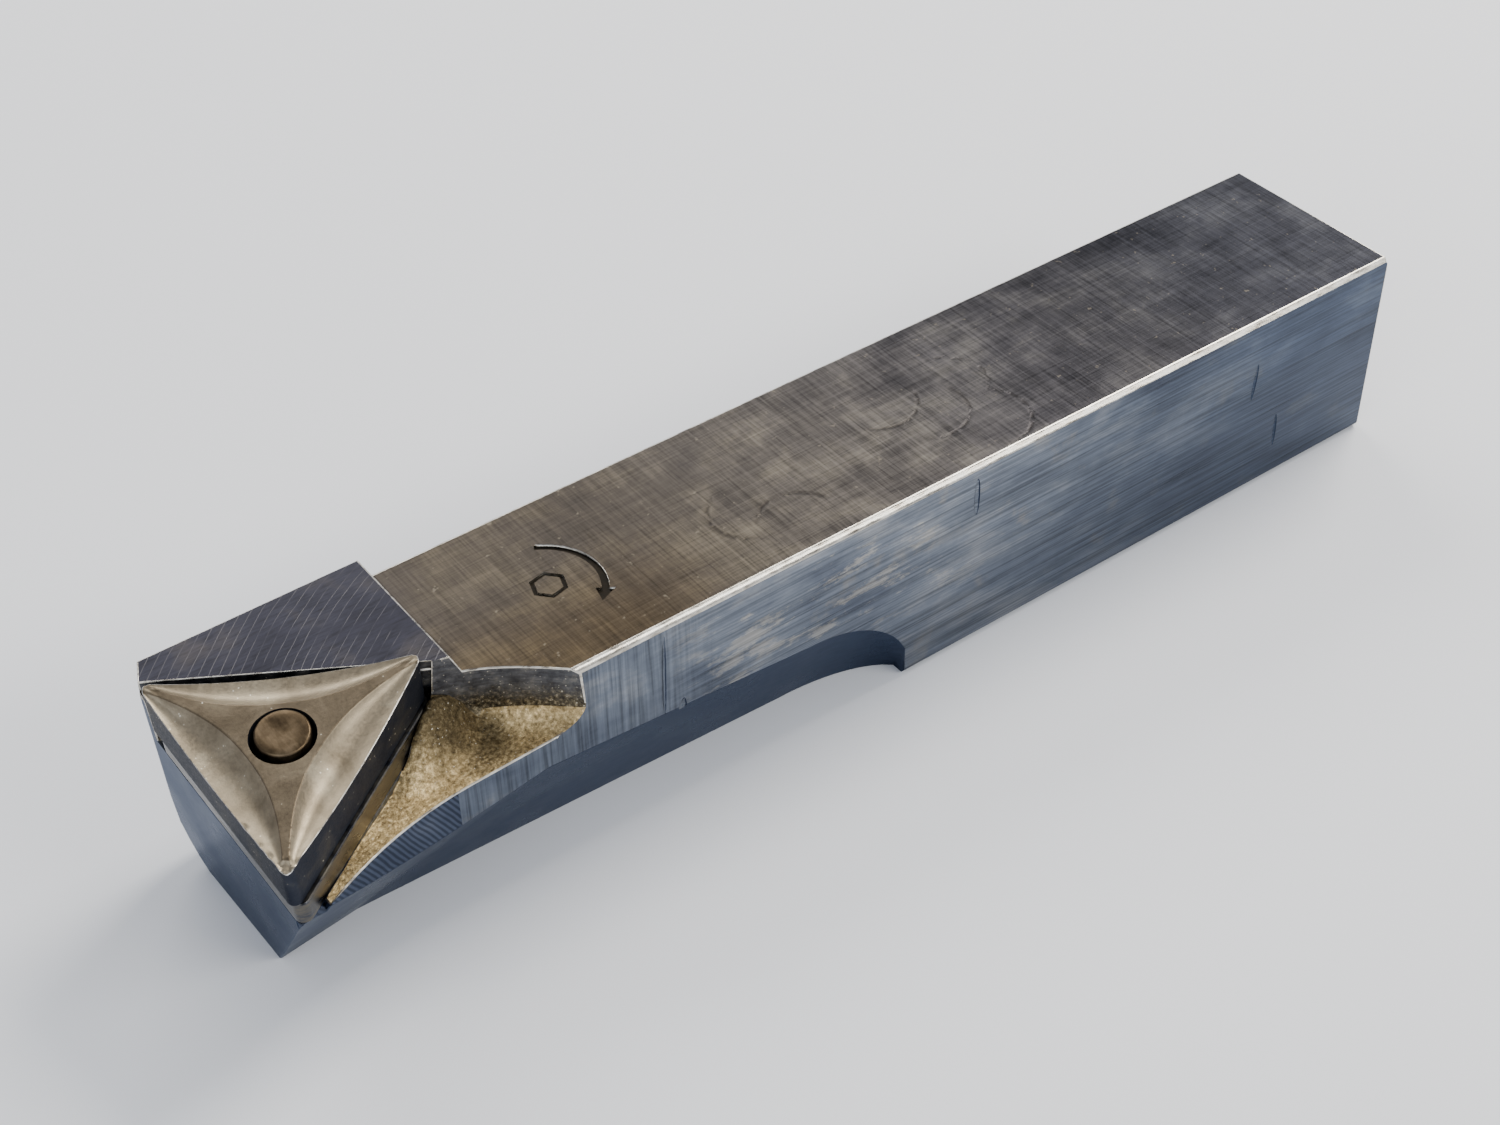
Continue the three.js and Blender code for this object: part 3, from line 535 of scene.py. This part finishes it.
def flare_material():
    """The nose support's curved side: dark steel with close milled stripes across it, its blue-grey colour
    and specular tint a painted reflection.
    """
    s = Surface("holder_flare_steel_blue_reflection")
    # Painted reflection: a blue-grey specular tint and colour.
    s.bsdf.inputs["Specular Tint"].default_value = (0.64, 0.67, 0.73, 1.0)
    blotch = s.noise((150, 150, 150), 5.0, 0.55)
    slant = s.math("ADD", s.split.outputs["X"], s.math("MULTIPLY", s.split.outputs["Z"], 0.55))
    shaken = s.math("ADD", slant, s.math("MULTIPLY", s.noise((200, 200, 200), 2.0), 0.0006))
    phase = s.math("FRACT", s.math("DIVIDE", shaken, FLARE_STRIPE_STEP * MM))
    stripe = s.span(s.math("ABSOLUTE", s.math("SUBTRACT", phase, 0.5)), 0.05, 0.45)
    color = s.ramp(
        blotch,
        [(0.30, (0.038, 0.047, 0.072)), (0.55, (0.064, 0.077, 0.110)), (0.75, (0.104, 0.118, 0.152))],
    )
    color = s.scaled(color, s.span(stripe, 0.0, 1.0, 0.62, 1.30))
    s.add_height(stripe, 0.00003)
    return s.finish(color, s.span(blotch, 0.3, 0.7, 0.28, 0.40))


def edge_material():
    """Bright edges and bevels: wear with a painted highlight."""
    s = Surface("worn_edge_steel_highlight")
    wear = s.noise((420, 1500, 1500), 5.0, 0.6)
    # Wear and painted highlight: pale, bright colours.
    color = s.ramp(
        wear,
        [(0.30, (0.24, 0.21, 0.17)), (0.50, (0.60, 0.57, 0.50)), (0.70, (0.82, 0.80, 0.74))],
    )
    s.add_height(wear, 0.00003)
    return s.finish(color, s.span(wear, 0.3, 0.7, 0.22, 0.40))


def insert_material(name, low, middle, high, grazing=1.0):
    """Sintered carbide with a fine matt tooth, speckles, painted glints and burnished places."""
    s = Surface(name, 0.85)
    s.bsdf.inputs["Specular Tint"].default_value = (grazing, grazing, grazing, 1.0)
    blotch = s.noise((210, 210, 210), 6.0, 0.6, distortion=0.6)
    tooth = s.noise((3200, 3200, 3200), 4.0, 0.7)
    color = s.ramp(blotch, [(0.32, low), (0.52, middle), (0.70, high)])
    color = s.scaled(color, s.span(tooth, 0.25, 0.75, 0.84, 1.16, False))
    dark = s.span(s.noise((1300, 1300, 1300), 2.0, 0.7), 0.30, 0.22)
    color = s.mix(s.math("MULTIPLY", dark, 0.5), color, low)
    # The flat land round the pin is darker than the hollows beside it.
    up = PIN_UP / MM
    rise = s.math("MULTIPLY", s.split.outputs["X"], up.x)
    rise = s.math("ADD", rise, s.math("MULTIPLY", s.split.outputs["Y"], up.y))
    rise = s.math("ADD", rise, s.math("MULTIPLY", s.split.outputs["Z"], up.z))
    level = s.math("SUBTRACT", rise, POCKET.translation.dot(up) - LAND_DROP - TOP_SKIN)
    land = s.span(s.math("ABSOLUTE", level), 0.11, 0.03)
    color = s.tinted(s.math("MULTIPLY", land, 0.9), color, (0.42, 0.39, 0.36))
    # Painted glints: tiny bright specks.
    painted_sparkle = s.span(s.cells((1500, 1500, 1500)), 0.16, 0.08)
    painted_sparkle = s.math("MULTIPLY", painted_sparkle, s.span(blotch, 0.50, 0.60))
    color = s.mix(s.math("MULTIPLY", painted_sparkle, 0.7), color, (0.92, 0.86, 0.70))
    s.add_height(tooth, 0.000012)
    s.add_height(blotch, 0.00003)
    return s.finish(color, s.span(tooth, 0.3, 0.7, 0.36, 0.50))


def simple_material(name, low, high, rough, scale=(900, 900, 900)):
    """Plain steel with cloudy colour and a fine tooth."""
    s = Surface(name)
    cloud = s.noise(scale, 5.0, 0.6)
    tooth = s.noise((4200, 4200, 4200), 3.0, 0.6)
    color = s.ramp(cloud, [(0.32, low), (0.68, high)])
    s.add_height(tooth, 0.00001)
    return s.finish(color, s.span(cloud, 0.3, 0.7, rough[0], rough[1]))


def pin_material():
    """The cam pin's brown steel, brushed across."""
    s = Surface("cam_pin_brown_steel")
    cloud = s.noise((420, 420, 420), 5.0, 0.6)
    grain = s.noise((2800, 700, 700), 3.0)
    color = s.ramp(
        cloud,
        [(0.32, (0.045, 0.030, 0.017)), (0.52, (0.085, 0.060, 0.034)), (0.70, (0.140, 0.102, 0.062))],
    )
    color = s.scaled(color, s.span(grain, 0.3, 0.7, 0.82, 1.18, False))
    s.add_height(grain, 0.000012)
    return s.finish(color, s.span(cloud, 0.3, 0.7, 0.30, 0.46))


# ---- Insert ----
def rounded_triangle(distances, radius, steps, arcs):
    """Outline of a triangle with round corners, anticlockwise from the front edge's far corner."""

    def meet(a, da, b, db):
        det = a[0] * b[1] - a[1] * b[0]
        return ((da * b[1] - db * a[1]) / det, (a[0] * db - b[0] * da) / det)

    outline = []
    for k in range(3):
        normal, after, before = (NORMALS[(k + i) % 3] for i in range(3))
        here, ahead, behind = (distances[(k + i) % 3] - radius for i in range(3))
        start = meet(before, behind, normal, here)
        end = meet(normal, here, after, ahead)
        for i in range(steps):
            t = i / steps
            x = start[0] + (end[0] - start[0]) * t + normal[0] * radius
            y = start[1] + (end[1] - start[1]) * t + normal[1] * radius
            outline.append((x, y))
        turn = math.atan2(normal[1], normal[0])
        for i in range(arcs):
            angle = turn + (i / arcs) * 2 * math.pi / 3
            outline.append((end[0] + radius * math.cos(angle), end[1] + radius * math.sin(angle)))
    return outline


def on_circle(points, radius):
    """Points of an outline round the origin, drawn in to a circle."""
    return [(x / math.hypot(x, y) * radius, y / math.hypot(x, y) * radius) for x, y in points]


def insert_top(x, y):
    """The insert's top: a flat Y-shaped land, a hollow inside each edge, edges that dip between corners."""
    sides = [(max(INRADIUS - (x * n[0] + y * n[1]), 0), abs(x * n[1] - y * n[0])) for n in NORMALS]
    inside, along = min(sides)
    share = min(along / HALF_SIDE, 1)
    edge = -EDGE_SAG * (1 - share**2)
    width = SCOOP_WIDTH * (1 - share**SCOOP_BULGE) ** SCOOP_TAPER
    reach = min(inside / width, 1) if width > 0 else 1
    hollow = SCOOP_DEPTH * math.sin(math.pi * reach) * (1 - share**4)
    land = -LAND_DROP * min(inside, 1)
    return edge + (land - edge) * reach**SCOOP_STEEPNESS - hollow


NOSE_TIP = Vector((-INRADIUS, -HALF_SIDE)) * (1 - 0.9 / (2 * INRADIUS))
NOSE_BREAK_REACH = 2.4
NOSE_BREAK_DEPTH = 1.05
NOSE_BREAK_SLOPE = 0.55
NOSE_CRUMBLE = 0.22
EDGE_CHIPS = [(-7.94, -10.4, 0.34), (-7.94, -8.9, 0.22), (-7.94, -6.1, 0.26), (-6.3, -12.7, 0.25)]
EDGE_CHIP_REACH = 0.55


def chipped(x, y, z):
    """The worn cutting nose: a broken facet on the tip and small chips along the front edge."""
    away = math.hypot(x - NOSE_TIP[0], y - NOSE_TIP[1])
    crumble = noise.noise(Vector((x * 1.9, y * 1.9, z * 1.9)))
    facet = -NOSE_BREAK_DEPTH + NOSE_BREAK_SLOPE * away + NOSE_CRUMBLE * crumble
    if away < NOSE_BREAK_REACH:
        z = min(z, facet)
    for cx, cy, depth in EDGE_CHIPS:
        reach = math.hypot(x - cx, y - cy)
        if reach < EDGE_CHIP_REACH:
            z -= depth * (1 - reach / EDGE_CHIP_REACH)
    return z


def insert_piece():
    steps, arcs, rings, levels = 84, 14, 56, 10
    outline = rounded_triangle([INRADIUS] * 3, NOSE_RADIUS, steps, arcs)
    inner = rounded_triangle([INRADIUS - HONE] * 3, NOSE_RADIUS - HONE, steps, arcs)
    foot = rounded_triangle([INRADIUS - FOOT_BEVEL] * 3, NOSE_RADIUS - FOOT_BEVEL, steps, arcs)
    mouth = on_circle(inner, HOLE_RADIUS + HOLE_FLARE)
    bore = on_circle(inner, HOLE_RADIUS)

    def worn_top(x, y):
        return chipped(x, y, insert_top(x, y) - TOP_SKIN)

    # Rings of points: the top from the hole outwards, down the side, under the foot and up the hole.
    sections = []
    for k in range(rings + 1):
        share = k / rings
        flat = [(h[0] + (p[0] - h[0]) * share, h[1] + (p[1] - h[1]) * share) for h, p in zip(mouth, inner)]
        sections.append([(x, y, worn_top(x, y)) for x, y in flat])
    rim = [(x, y, worn_top(x, y) - HONE) for x, y in outline]
    sections.append(rim)
    for k in range(1, levels):
        t = k / levels
        sections.append([(x, y, z + (FOOT_BEVEL - THICKNESS - z) * t) for x, y, z in rim])
    sections.append([(x, y, FOOT_BEVEL - THICKNESS) for x, y in outline])
    sections.append([(x, y, -THICKNESS) for x, y in foot])
    sections.append([(x, y, -THICKNESS) for x, y in bore])
    sections.append([(x, y, top[2] - HOLE_RIM) for (x, y), top in zip(bore, sections[0])])
    verts, faces = rings_mesh(sections, True)

    def finish_of(face):
        """0 on the top, 2 on the worn edge round it, bright with wear and a painted highlight, 1 elsewhere.
        """
        ring = face[0] // len(outline)
        return 0 if ring < rings else 2 if ring == rings else 1

    materials = [
        insert_material(
            "insert_top_carbide", (0.170, 0.138, 0.092), (0.275, 0.228, 0.158), (0.390, 0.335, 0.240)
        ),
        insert_material(
            "insert_side_carbide", (0.014, 0.018, 0.030), (0.030, 0.034, 0.046), (0.075, 0.070, 0.062), 0.5
        ),
        edge_material(),
    ]
    slots = [finish_of(face) for face in faces]
    obj = object_from("insert_carbide", placed(verts), faces, materials, slots)
    smooth(obj, 34)
    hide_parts("insert")
    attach(obj, INSERT_BODY)
    return obj


# ---- Seat ----
def seat_piece():
    steps, arcs = 24, 14
    inset = [distance - SEAT_BEVEL for distance in SEAT_SIDES]
    outer = rounded_triangle(SEAT_SIDES, SEAT_CORNER_RADIUS, steps, arcs)
    inner = rounded_triangle(inset, SEAT_CORNER_RADIUS - SEAT_BEVEL, steps, arcs)
    counterbore = on_circle(outer, COLLAR_RADIUS + COLLAR_ROOM)
    bore = on_circle(outer, JOURNAL_RADIUS + BORE_ROOM)
    shelf = COLLAR_TOP - COLLAR_THICKNESS - REST_GAP
    levels = [
        (counterbore, SEAT_TOP),
        (inner, SEAT_TOP),
        (outer, SEAT_TOP - SEAT_BEVEL),
        (outer, SEAT_BOTTOM + SEAT_BEVEL),
        (inner, SEAT_BOTTOM),
        (bore, SEAT_BOTTOM),
        (bore, shelf),
        (counterbore, shelf),
    ]
    verts, faces = rings_mesh([[(x, y, z) for x, y in ring] for ring, z in levels], True)
    material = simple_material(
        "seat_carbide_ground", (0.036, 0.040, 0.052), (0.125, 0.112, 0.086), (0.26, 0.42), (500, 500, 2600)
    )
    obj = object_from("seat_plate", placed(verts), faces, [material])
    smooth(obj, 30)
    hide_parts("seat")
    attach(obj, HOLDER_BODY)
    return obj


# ---- Cam pin ----
def pin_ends():
    """The heights of the pin's lower end and of its head's top along the pocket's Z, in millimetres."""
    inverse = POCKET.inverted()
    heights = [(inverse @ v.co).z / MM for v in frame["nodes"]["cam_pin"].data.vertices]
    return min(heights), max(heights)


def pin_piece():
    segments = 96
    low, top = pin_ends()
    groove_radius = JOURNAL_RADIUS - GROOVE_DEPTH
    groove_bottom = low + GROOVE_RISE - RING_ROOM
    groove_top = low + GROOVE_RISE + RING_THICKNESS + RING_ROOM
    collar_bottom = COLLAR_TOP - COLLAR_THICKNESS
    shaft = [
        (0, low),
        (JOURNAL_RADIUS - PIN_CHAMFER, low),
        (JOURNAL_RADIUS, low + PIN_CHAMFER),
        (JOURNAL_RADIUS, groove_bottom),
        (groove_radius, groove_bottom),
        (groove_radius, groove_top),
        (JOURNAL_RADIUS, groove_top),
        (JOURNAL_RADIUS, collar_bottom),
        (COLLAR_RADIUS - COLLAR_BEVEL, collar_bottom),
        (COLLAR_RADIUS, collar_bottom + COLLAR_BEVEL),
        (COLLAR_RADIUS, COLLAR_TOP - COLLAR_BEVEL),
        (COLLAR_RADIUS - COLLAR_BEVEL, COLLAR_TOP),
        (0, COLLAR_TOP),
    ]
    # The head's rim is rounded and its top is slightly dished.
    head = [
        (0, COLLAR_TOP - HEAD_ROOT),
        (HEAD_RADIUS, COLLAR_TOP - HEAD_ROOT),
        (HEAD_RADIUS, top - 0.30),
        (HEAD_RADIUS - 0.05, top - 0.16),
        (HEAD_RADIUS - 0.17, top - 0.04),
        (HEAD_RADIUS - 0.28, top),
        (1.9, top - 0.02),
        (0.42, top - 0.03),
        (0, top - 0.05),
    ]
    throw = (NORMALS[2][0] * CAM_THROW, NORMALS[2][1] * CAM_THROW)
    material = pin_material()
    verts, faces = turned(shaft, segments)
    obj = object_from("cam_pin_body_turned", placed(verts), faces, [material])
    verts, faces = turned(head, segments, throw)
    boolean(obj, object_from("cam_head", placed(verts), faces, [material]), "UNION")
    hexagon = ring_outline((0, 0), SOCKET_ACROSS_FLATS / math.sqrt(3), 6, 0)
    verts, faces = prism(hexagon, low - 1, low + SOCKET_DEPTH)
    boolean(obj, object_from("socket", placed(verts), faces, [material]), "DIFFERENCE")
    smooth(obj, 28)
    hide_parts("cam_pin")
    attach(obj, PIN_BODY)
    return obj


# ---- Holder: its sizes here are in millimetres ----
def arrow_outline():
    """A curved arrow on the shank's top: an arc that runs clockwise seen from above, and its head."""
    centre, radius = (-37.8, -0.4), 6.75
    half_width, half_head = 0.42, 1.05
    first, last, head_sweep = math.radians(62), math.radians(-34), math.radians(-17)
    steps = 26

    def at(distance, angle):
        return (centre[0] + distance * math.cos(angle), centre[1] + distance * math.sin(angle))

    angles = [first + (last - first) * i / steps for i in range(steps + 1)]
    outer = [at(radius + half_width, a) for a in angles]
    inner = [at(radius - half_width, a) for a in angles]
    head = [at(radius + half_head, last), at(radius, last + head_sweep), at(radius - half_head, last)]
    return outer + head + inner[::-1]


def millimetres(points):
    return [Vector(p) * MM for p in points]


def ball(centre, sizes, lean):
    """A squashed ball that presses a dent; lean turns it about Y, in degrees."""
    bm = bmesh.new()
    bmesh.ops.create_icosphere(bm, subdivisions=3, radius=1.0)
    matrix = Matrix.Translation(Vector(centre) * MM) @ Matrix.Rotation(math.radians(lean), 4, "Y")
    bm.transform(matrix @ Matrix.Diagonal((sizes[0] * MM, sizes[1] * MM, sizes[2] * MM, 1)))
    mesh = bpy.data.meshes.new("dent")
    bm.to_mesh(mesh)
    bm.free()
    obj = bpy.data.objects.new("dent", mesh)
    bpy.context.scene.collection.objects.link(obj)
    return obj


# Centre, half sizes and lean of each dent in the near side.
DENTS = [
    ((54.3, NEAR_Y, 16.7), (0.34, 0.22, 2.6), 4),
    ((59.3, NEAR_Y, 7.3), (0.34, 0.22, 2.5), -3),
    ((10.6, NEAR_Y, 21.2), (0.42, 0.24, 2.6), 0),
    ((-29.2, NEAR_Y, 12.2), (0.55, 0.30, 2.2), 6),
    ((-27.6, NEAR_Y, 10.6), (0.45, 0.30, 1.9), -8),
    ((-26.4, NEAR_Y, 9.3), (0.40, 0.26, 1.6), 4),
    ((-31.2, NEAR_Y, 18.6), (0.20, 0.16, 5.6), 2),
]
ARROW_DEPTH = 0.32
HEXAGON_DEPTH = 0.3
CUT_ABOVE = 0.4  # how far the marks' cutters stand out of the shank's top


def cut_marks(obj):
    """Presses the arrow, a hexagon mark and the dents into the holder."""
    verts, faces = prism(arrow_outline(), SHANK_TOP - ARROW_DEPTH, SHANK_TOP + CUT_ABOVE)
    boolean(obj, object_from("arrow", millimetres(verts), faces, []), "DIFFERENCE")
    centre, outer_radius, inner_radius, turn = (-36.6, -0.3), 2.1, 1.55, math.radians(12)
    hexagon = ring_outline(centre, outer_radius, 6, turn)
    verts, faces = prism(hexagon, SHANK_TOP - HEXAGON_DEPTH, SHANK_TOP + CUT_ABOVE)
    stamp = object_from("hexagon", millimetres(verts), faces, [])
    core = ring_outline(centre, inner_radius, 6, turn)
    verts, faces = prism(core, SHANK_TOP - 2 * HEXAGON_DEPTH, SHANK_TOP + 2 * CUT_ABOVE)
    boolean(stamp, object_from("hexagon_core", millimetres(verts), faces, []), "DIFFERENCE")
    boolean(obj, stamp, "DIFFERENCE")
    for centre, sizes, lean in DENTS:
        boolean(obj, ball(centre, sizes, lean), "DIFFERENCE")


# The holder's finishes, in the order of its material slots.
TOP, SIDE, BOSS, GRIT, WALL, FRONT, EDGE, FLARE, MARK_FLOOR_SHADE = range(9)


def by_marks(x, y, z):
    """Whether a place, in millimetres, is in the marks on the shank's top or on their rims."""
    return -41.5 < x < -29 and abs(y) < 9 and z > SHANK_TOP - 2 * HEXAGON_DEPTH


def region(centre, normal):
    """Which finish a face of the holder has, by where it is and where it looks. Millimetres."""
    x, y, z = centre
    pocket = POCKET.inverted() @ (Vector(centre) * MM)
    px, py, pz = (v / MM for v in pocket)
    gullet_side, wall_side = (px * n[0] + py * n[1] for n in NORMALS[1:])
    in_bore = math.hypot(px, py) < BORE_MOUTH and pz < SEAT_BOTTOM - 0.2
    if in_bore and abs(normal.dot(PIN_UP)) < 0.3:
        return WALL
    if normal.x > 0.9:
        return SIDE
    # Painted shade on the marks' floors, painted highlight on their walls.
    if by_marks(x, y, z) and z < SHANK_TOP - 0.001:
        return MARK_FLOOR_SHADE if normal.z > 0.7 else EDGE
    if z > BOSS_LEVEL and normal.z > 0.9:
        return BOSS
    if z > SHANK_TOP - 0.2 and normal.z > 0.9:
        return TOP
    if BOSS_REAR - 0.5 < x < BOSS_REAR + 1.5 and z > SHANK_TOP - 0.2 and y > ROOT_Y:
        return EDGE
    in_gullet = x < GULLET_REAR + 1.2 and y < ROOT_Y + 2.5 and z > 16.5 and gullet_side > INRADIUS + 0.3
    if in_gullet and normal.z > 0.25:
        return GRIT
    if in_gullet and normal.y < -0.2 and z > 18.2 and y > NEAR_Y + 0.3:
        return WALL
    beside_wall = pz > SEAT_BOTTOM - 0.3 and wall_side > INRADIUS - 0.6 and x < ROOT_X + 2
    if beside_wall and z > 17 and normal.z < 0.3:
        return WALL if normal.y < -0.3 else FRONT
    slanting = max(abs(v) for v in normal) < 0.8
    if slanting and x > GULLET_REAR - 12 and (z > SHANK_TOP - 0.6 or x > 75.5):
        return EDGE
    if x < ROOT_X - 2 and y < NEAR_Y - 0.02 and abs(normal.z) < 0.3 and normal.y < -0.5:
        return FLARE
    if normal.x < -0.6 or (x < -62 and normal.z < 0.5):
        return FRONT
    if normal.z < -0.2 and normal.y < -0.2:
        return FRONT
    return SIDE


def paint(bm):
    for face in bm.faces:
        face.material_index = region([v / MM for v in face.calc_center_median()], face.normal)


BRIGHT_SIDES = {TOP, BOSS, GRIT, WALL}
BRIGHT_ABOVE = 16
BRIGHT_BEVEL = 0.15
PLAIN_BEVEL = 0.18
OWN_MATERIAL = -1  # a bevel with this number takes the finish of the faces beside it
SHORTEST_BEVELLED = 0.9
FLATTEST_BEVELLED = math.radians(24)


def rounded_edge(edge):
    """Whether an edge is a long outer one that gets a bevel."""
    if len(edge.link_faces) != 2 or not edge.is_convex or edge.calc_length() < SHORTEST_BEVELLED * MM:
        return False
    if edge.calc_face_angle(0.0) < FLATTEST_BEVELLED:
        return False
    middle = (edge.verts[0].co + edge.verts[1].co) / 2
    local = POCKET.inverted() @ middle
    if math.hypot(local.x, local.y) < (BORE_MOUTH + 0.3) * MM and local.z < (SEAT_BOTTOM + 1) * MM:
        return False
    if {face.material_index for face in edge.link_faces} <= {GRIT, WALL}:
        return False
    return not by_marks(*(middle / MM))


def bevelled(bm):
    """Rounds the long outer edges: those round the top and the gullet are bright, worn and with a painted
    highlight.
    """
    bright, plain = [], []
    for edge in bm.edges:
        if rounded_edge(edge):
            sides = {face.material_index for face in edge.link_faces}
            high = (edge.verts[0].co.z + edge.verts[1].co.z) / 2 > BRIGHT_ABOVE * MM
            (bright if sides & BRIGHT_SIDES and high else plain).append(edge)
    for edges, width, material in ((bright, BRIGHT_BEVEL, EDGE), (plain, PLAIN_BEVEL, OWN_MATERIAL)):
        bmesh.ops.bevel(
            bm,
            geom=[edge for edge in edges if edge.is_valid],
            offset=width * MM,
            offset_type="OFFSET",
            segments=2,
            profile=0.5,
            affect="EDGES",
            clamp_overlap=False,
            material=material,
        )


GRIT_EDGE = 0.55  # the longest edge left in the grit
GRIT_PASSES = 6


def roughened(bm):
    """Cuts the gullet's grit faces fine and gives them a real tooth."""
    for _ in range(GRIT_PASSES):
        long_edges = [
            e
            for e in bm.edges
            if e.calc_length() > GRIT_EDGE * MM
            and len(e.link_faces) == 2
            and all(f.material_index == GRIT for f in e.link_faces)
        ]
        if not long_edges:
            break
        bmesh.ops.subdivide_edges(bm, edges=long_edges, cuts=1, use_grid_fill=False)
        bmesh.ops.triangulate(bm, faces=[f for f in bm.faces if f.material_index == GRIT])
    bm.normal_update()
    for vert in bm.verts:
        if vert.link_faces and all(f.material_index == GRIT for f in vert.link_faces):
            p = vert.co / MM
            tooth = noise.noise(p * 1.7) * 0.05 + noise.noise(p * 4.3) * 0.035
            vert.co += vert.normal * (tooth * MM)


WELD = 0.002  # corners closer than this become one


def holder_piece():
    obj = bpy.data.objects.new("holder_steel_body", frame["nodes"]["holder"].data.copy())
    bpy.context.scene.collection.objects.link(obj)
    obj.data.materials.clear()
    bm = bmesh.new()
    bm.from_mesh(obj.data)
    bmesh.ops.remove_doubles(bm, verts=bm.verts, dist=WELD * MM)
    bmesh.ops.dissolve_limit(bm, angle_limit=math.radians(0.7), verts=bm.verts, edges=bm.edges)
    bm.to_mesh(obj.data)
    bm.free()
    cut_marks(obj)
    bm = bmesh.new()
    bm.from_mesh(obj.data)
    bmesh.ops.remove_doubles(bm, verts=bm.verts, dist=WELD * MM)
    paint(bm)
    bevelled(bm)
    roughened(bm)
    bm.normal_update()
    bm.to_mesh(obj.data)
    bm.free()
    for material in (
        top_material(),
        side_material(),
        boss_material(),
        grit_material(),
        wall_material(),
        front_material(),
        edge_material(),
        flare_material(),
        # The marks' floors: near-black steel as painted shade.
        simple_material("pressed_mark_painted_shade", (0.006, 0.005, 0.004), (0.020, 0.016, 0.011), (0.45, 0.60)),
    ):
        obj.data.materials.append(material)
    smooth(obj, 30)
    weighted = obj.modifiers.new("weighted", "WEIGHTED_NORMAL")
    weighted.keep_sharp = True
    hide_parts("holder")
    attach(obj, HOLDER_BODY)
    return obj


def repaint(node, material):
    """Gives a CAD node that stays visible its own material."""
    mesh = frame["nodes"][node].data
    mesh.materials.clear()
    mesh.materials.append(material)


# ---- Stage ----
def floor():
    half, level = 8.0, -0.00005
    verts = [(x * half, y * half, level) for x, y in ((-1, -1), (1, -1), (1, 1), (-1, 1))]
    material = bpy.data.materials.new("pale_floor")
    material.use_nodes = True
    bsdf = material.node_tree.nodes["Principled BSDF"]
    bsdf.inputs["Base Color"].default_value = (0.80, 0.81, 0.83, 1)
    bsdf.inputs["Roughness"].default_value = 0.9
    obj = object_from("floor", verts, [(0, 1, 2, 3)], [material])


def area_light(name, place, aim, size, power, color):
    data = bpy.data.lights.new(name, "AREA")
    data.shape = "RECTANGLE"
    data.size, data.size_y = size
    data.energy = power
    data.color = color
    obj = bpy.data.objects.new(name, data)
    bpy.context.scene.collection.objects.link(obj)
    obj.location = place
    obj.rotation_euler = (Vector(aim) - Vector(place)).to_track_quat("-Z", "Y").to_euler()


def lights():
    world = bpy.data.worlds.new("studio")
    bpy.context.scene.world = world
    world.use_nodes = True
    background = world.node_tree.nodes["Background"]
    background.inputs["Color"].default_value = (0.86, 0.90, 1.0, 1)
    background.inputs["Strength"].default_value = 0.55
    area_light("key", (0.55, 0.12, 0.62), (-0.03, 0, 0.01), (0.40, 0.35), 7.0, (1.0, 0.96, 0.90))
    area_light("back", (0.10, 0.60, 0.50), (-0.03, 0, 0.01), (0.5, 0.3), 3.0, (1.0, 0.98, 0.95))
    area_light("edge_strip", (0.30, -0.60, 0.48), (-0.01, 0, 0.01), (0.5, 0.16), 3.2, (1.0, 0.98, 0.94))
    area_light("fill", (-0.60, -0.35, 0.45), (-0.03, 0, 0.01), (0.6, 0.4), 2.2, (0.86, 0.92, 1.0))


def camera():
    """The photo's viewpoint, solved from the straight edges of the shank."""
    data = bpy.data.cameras.new("camera")
    data.lens = 55.969
    data.sensor_width = 36
    data.clip_start = 0.01
    obj = bpy.data.objects.new("camera", data)
    bpy.context.scene.collection.objects.link(obj)
    obj.location = (-0.124599, -0.156529, 0.183216)
    obj.rotation_euler = Euler([math.radians(a) for a in (48.8993, 0.8934, -36.7624)])
    bpy.context.scene.camera = obj


camera()
lights()
floor()
holder_piece()
seat_piece()
insert_piece()
pin_piece()
washer_steel = simple_material("washer_spring_steel", (0.30, 0.31, 0.33), (0.52, 0.52, 0.52), (0.22, 0.36))
repaint("wave_washer", washer_steel)
ring_steel = simple_material("ring_black_steel", (0.020, 0.020, 0.022), (0.065, 0.062, 0.058), (0.32, 0.48))
repaint("retaining_ring", ring_steel)
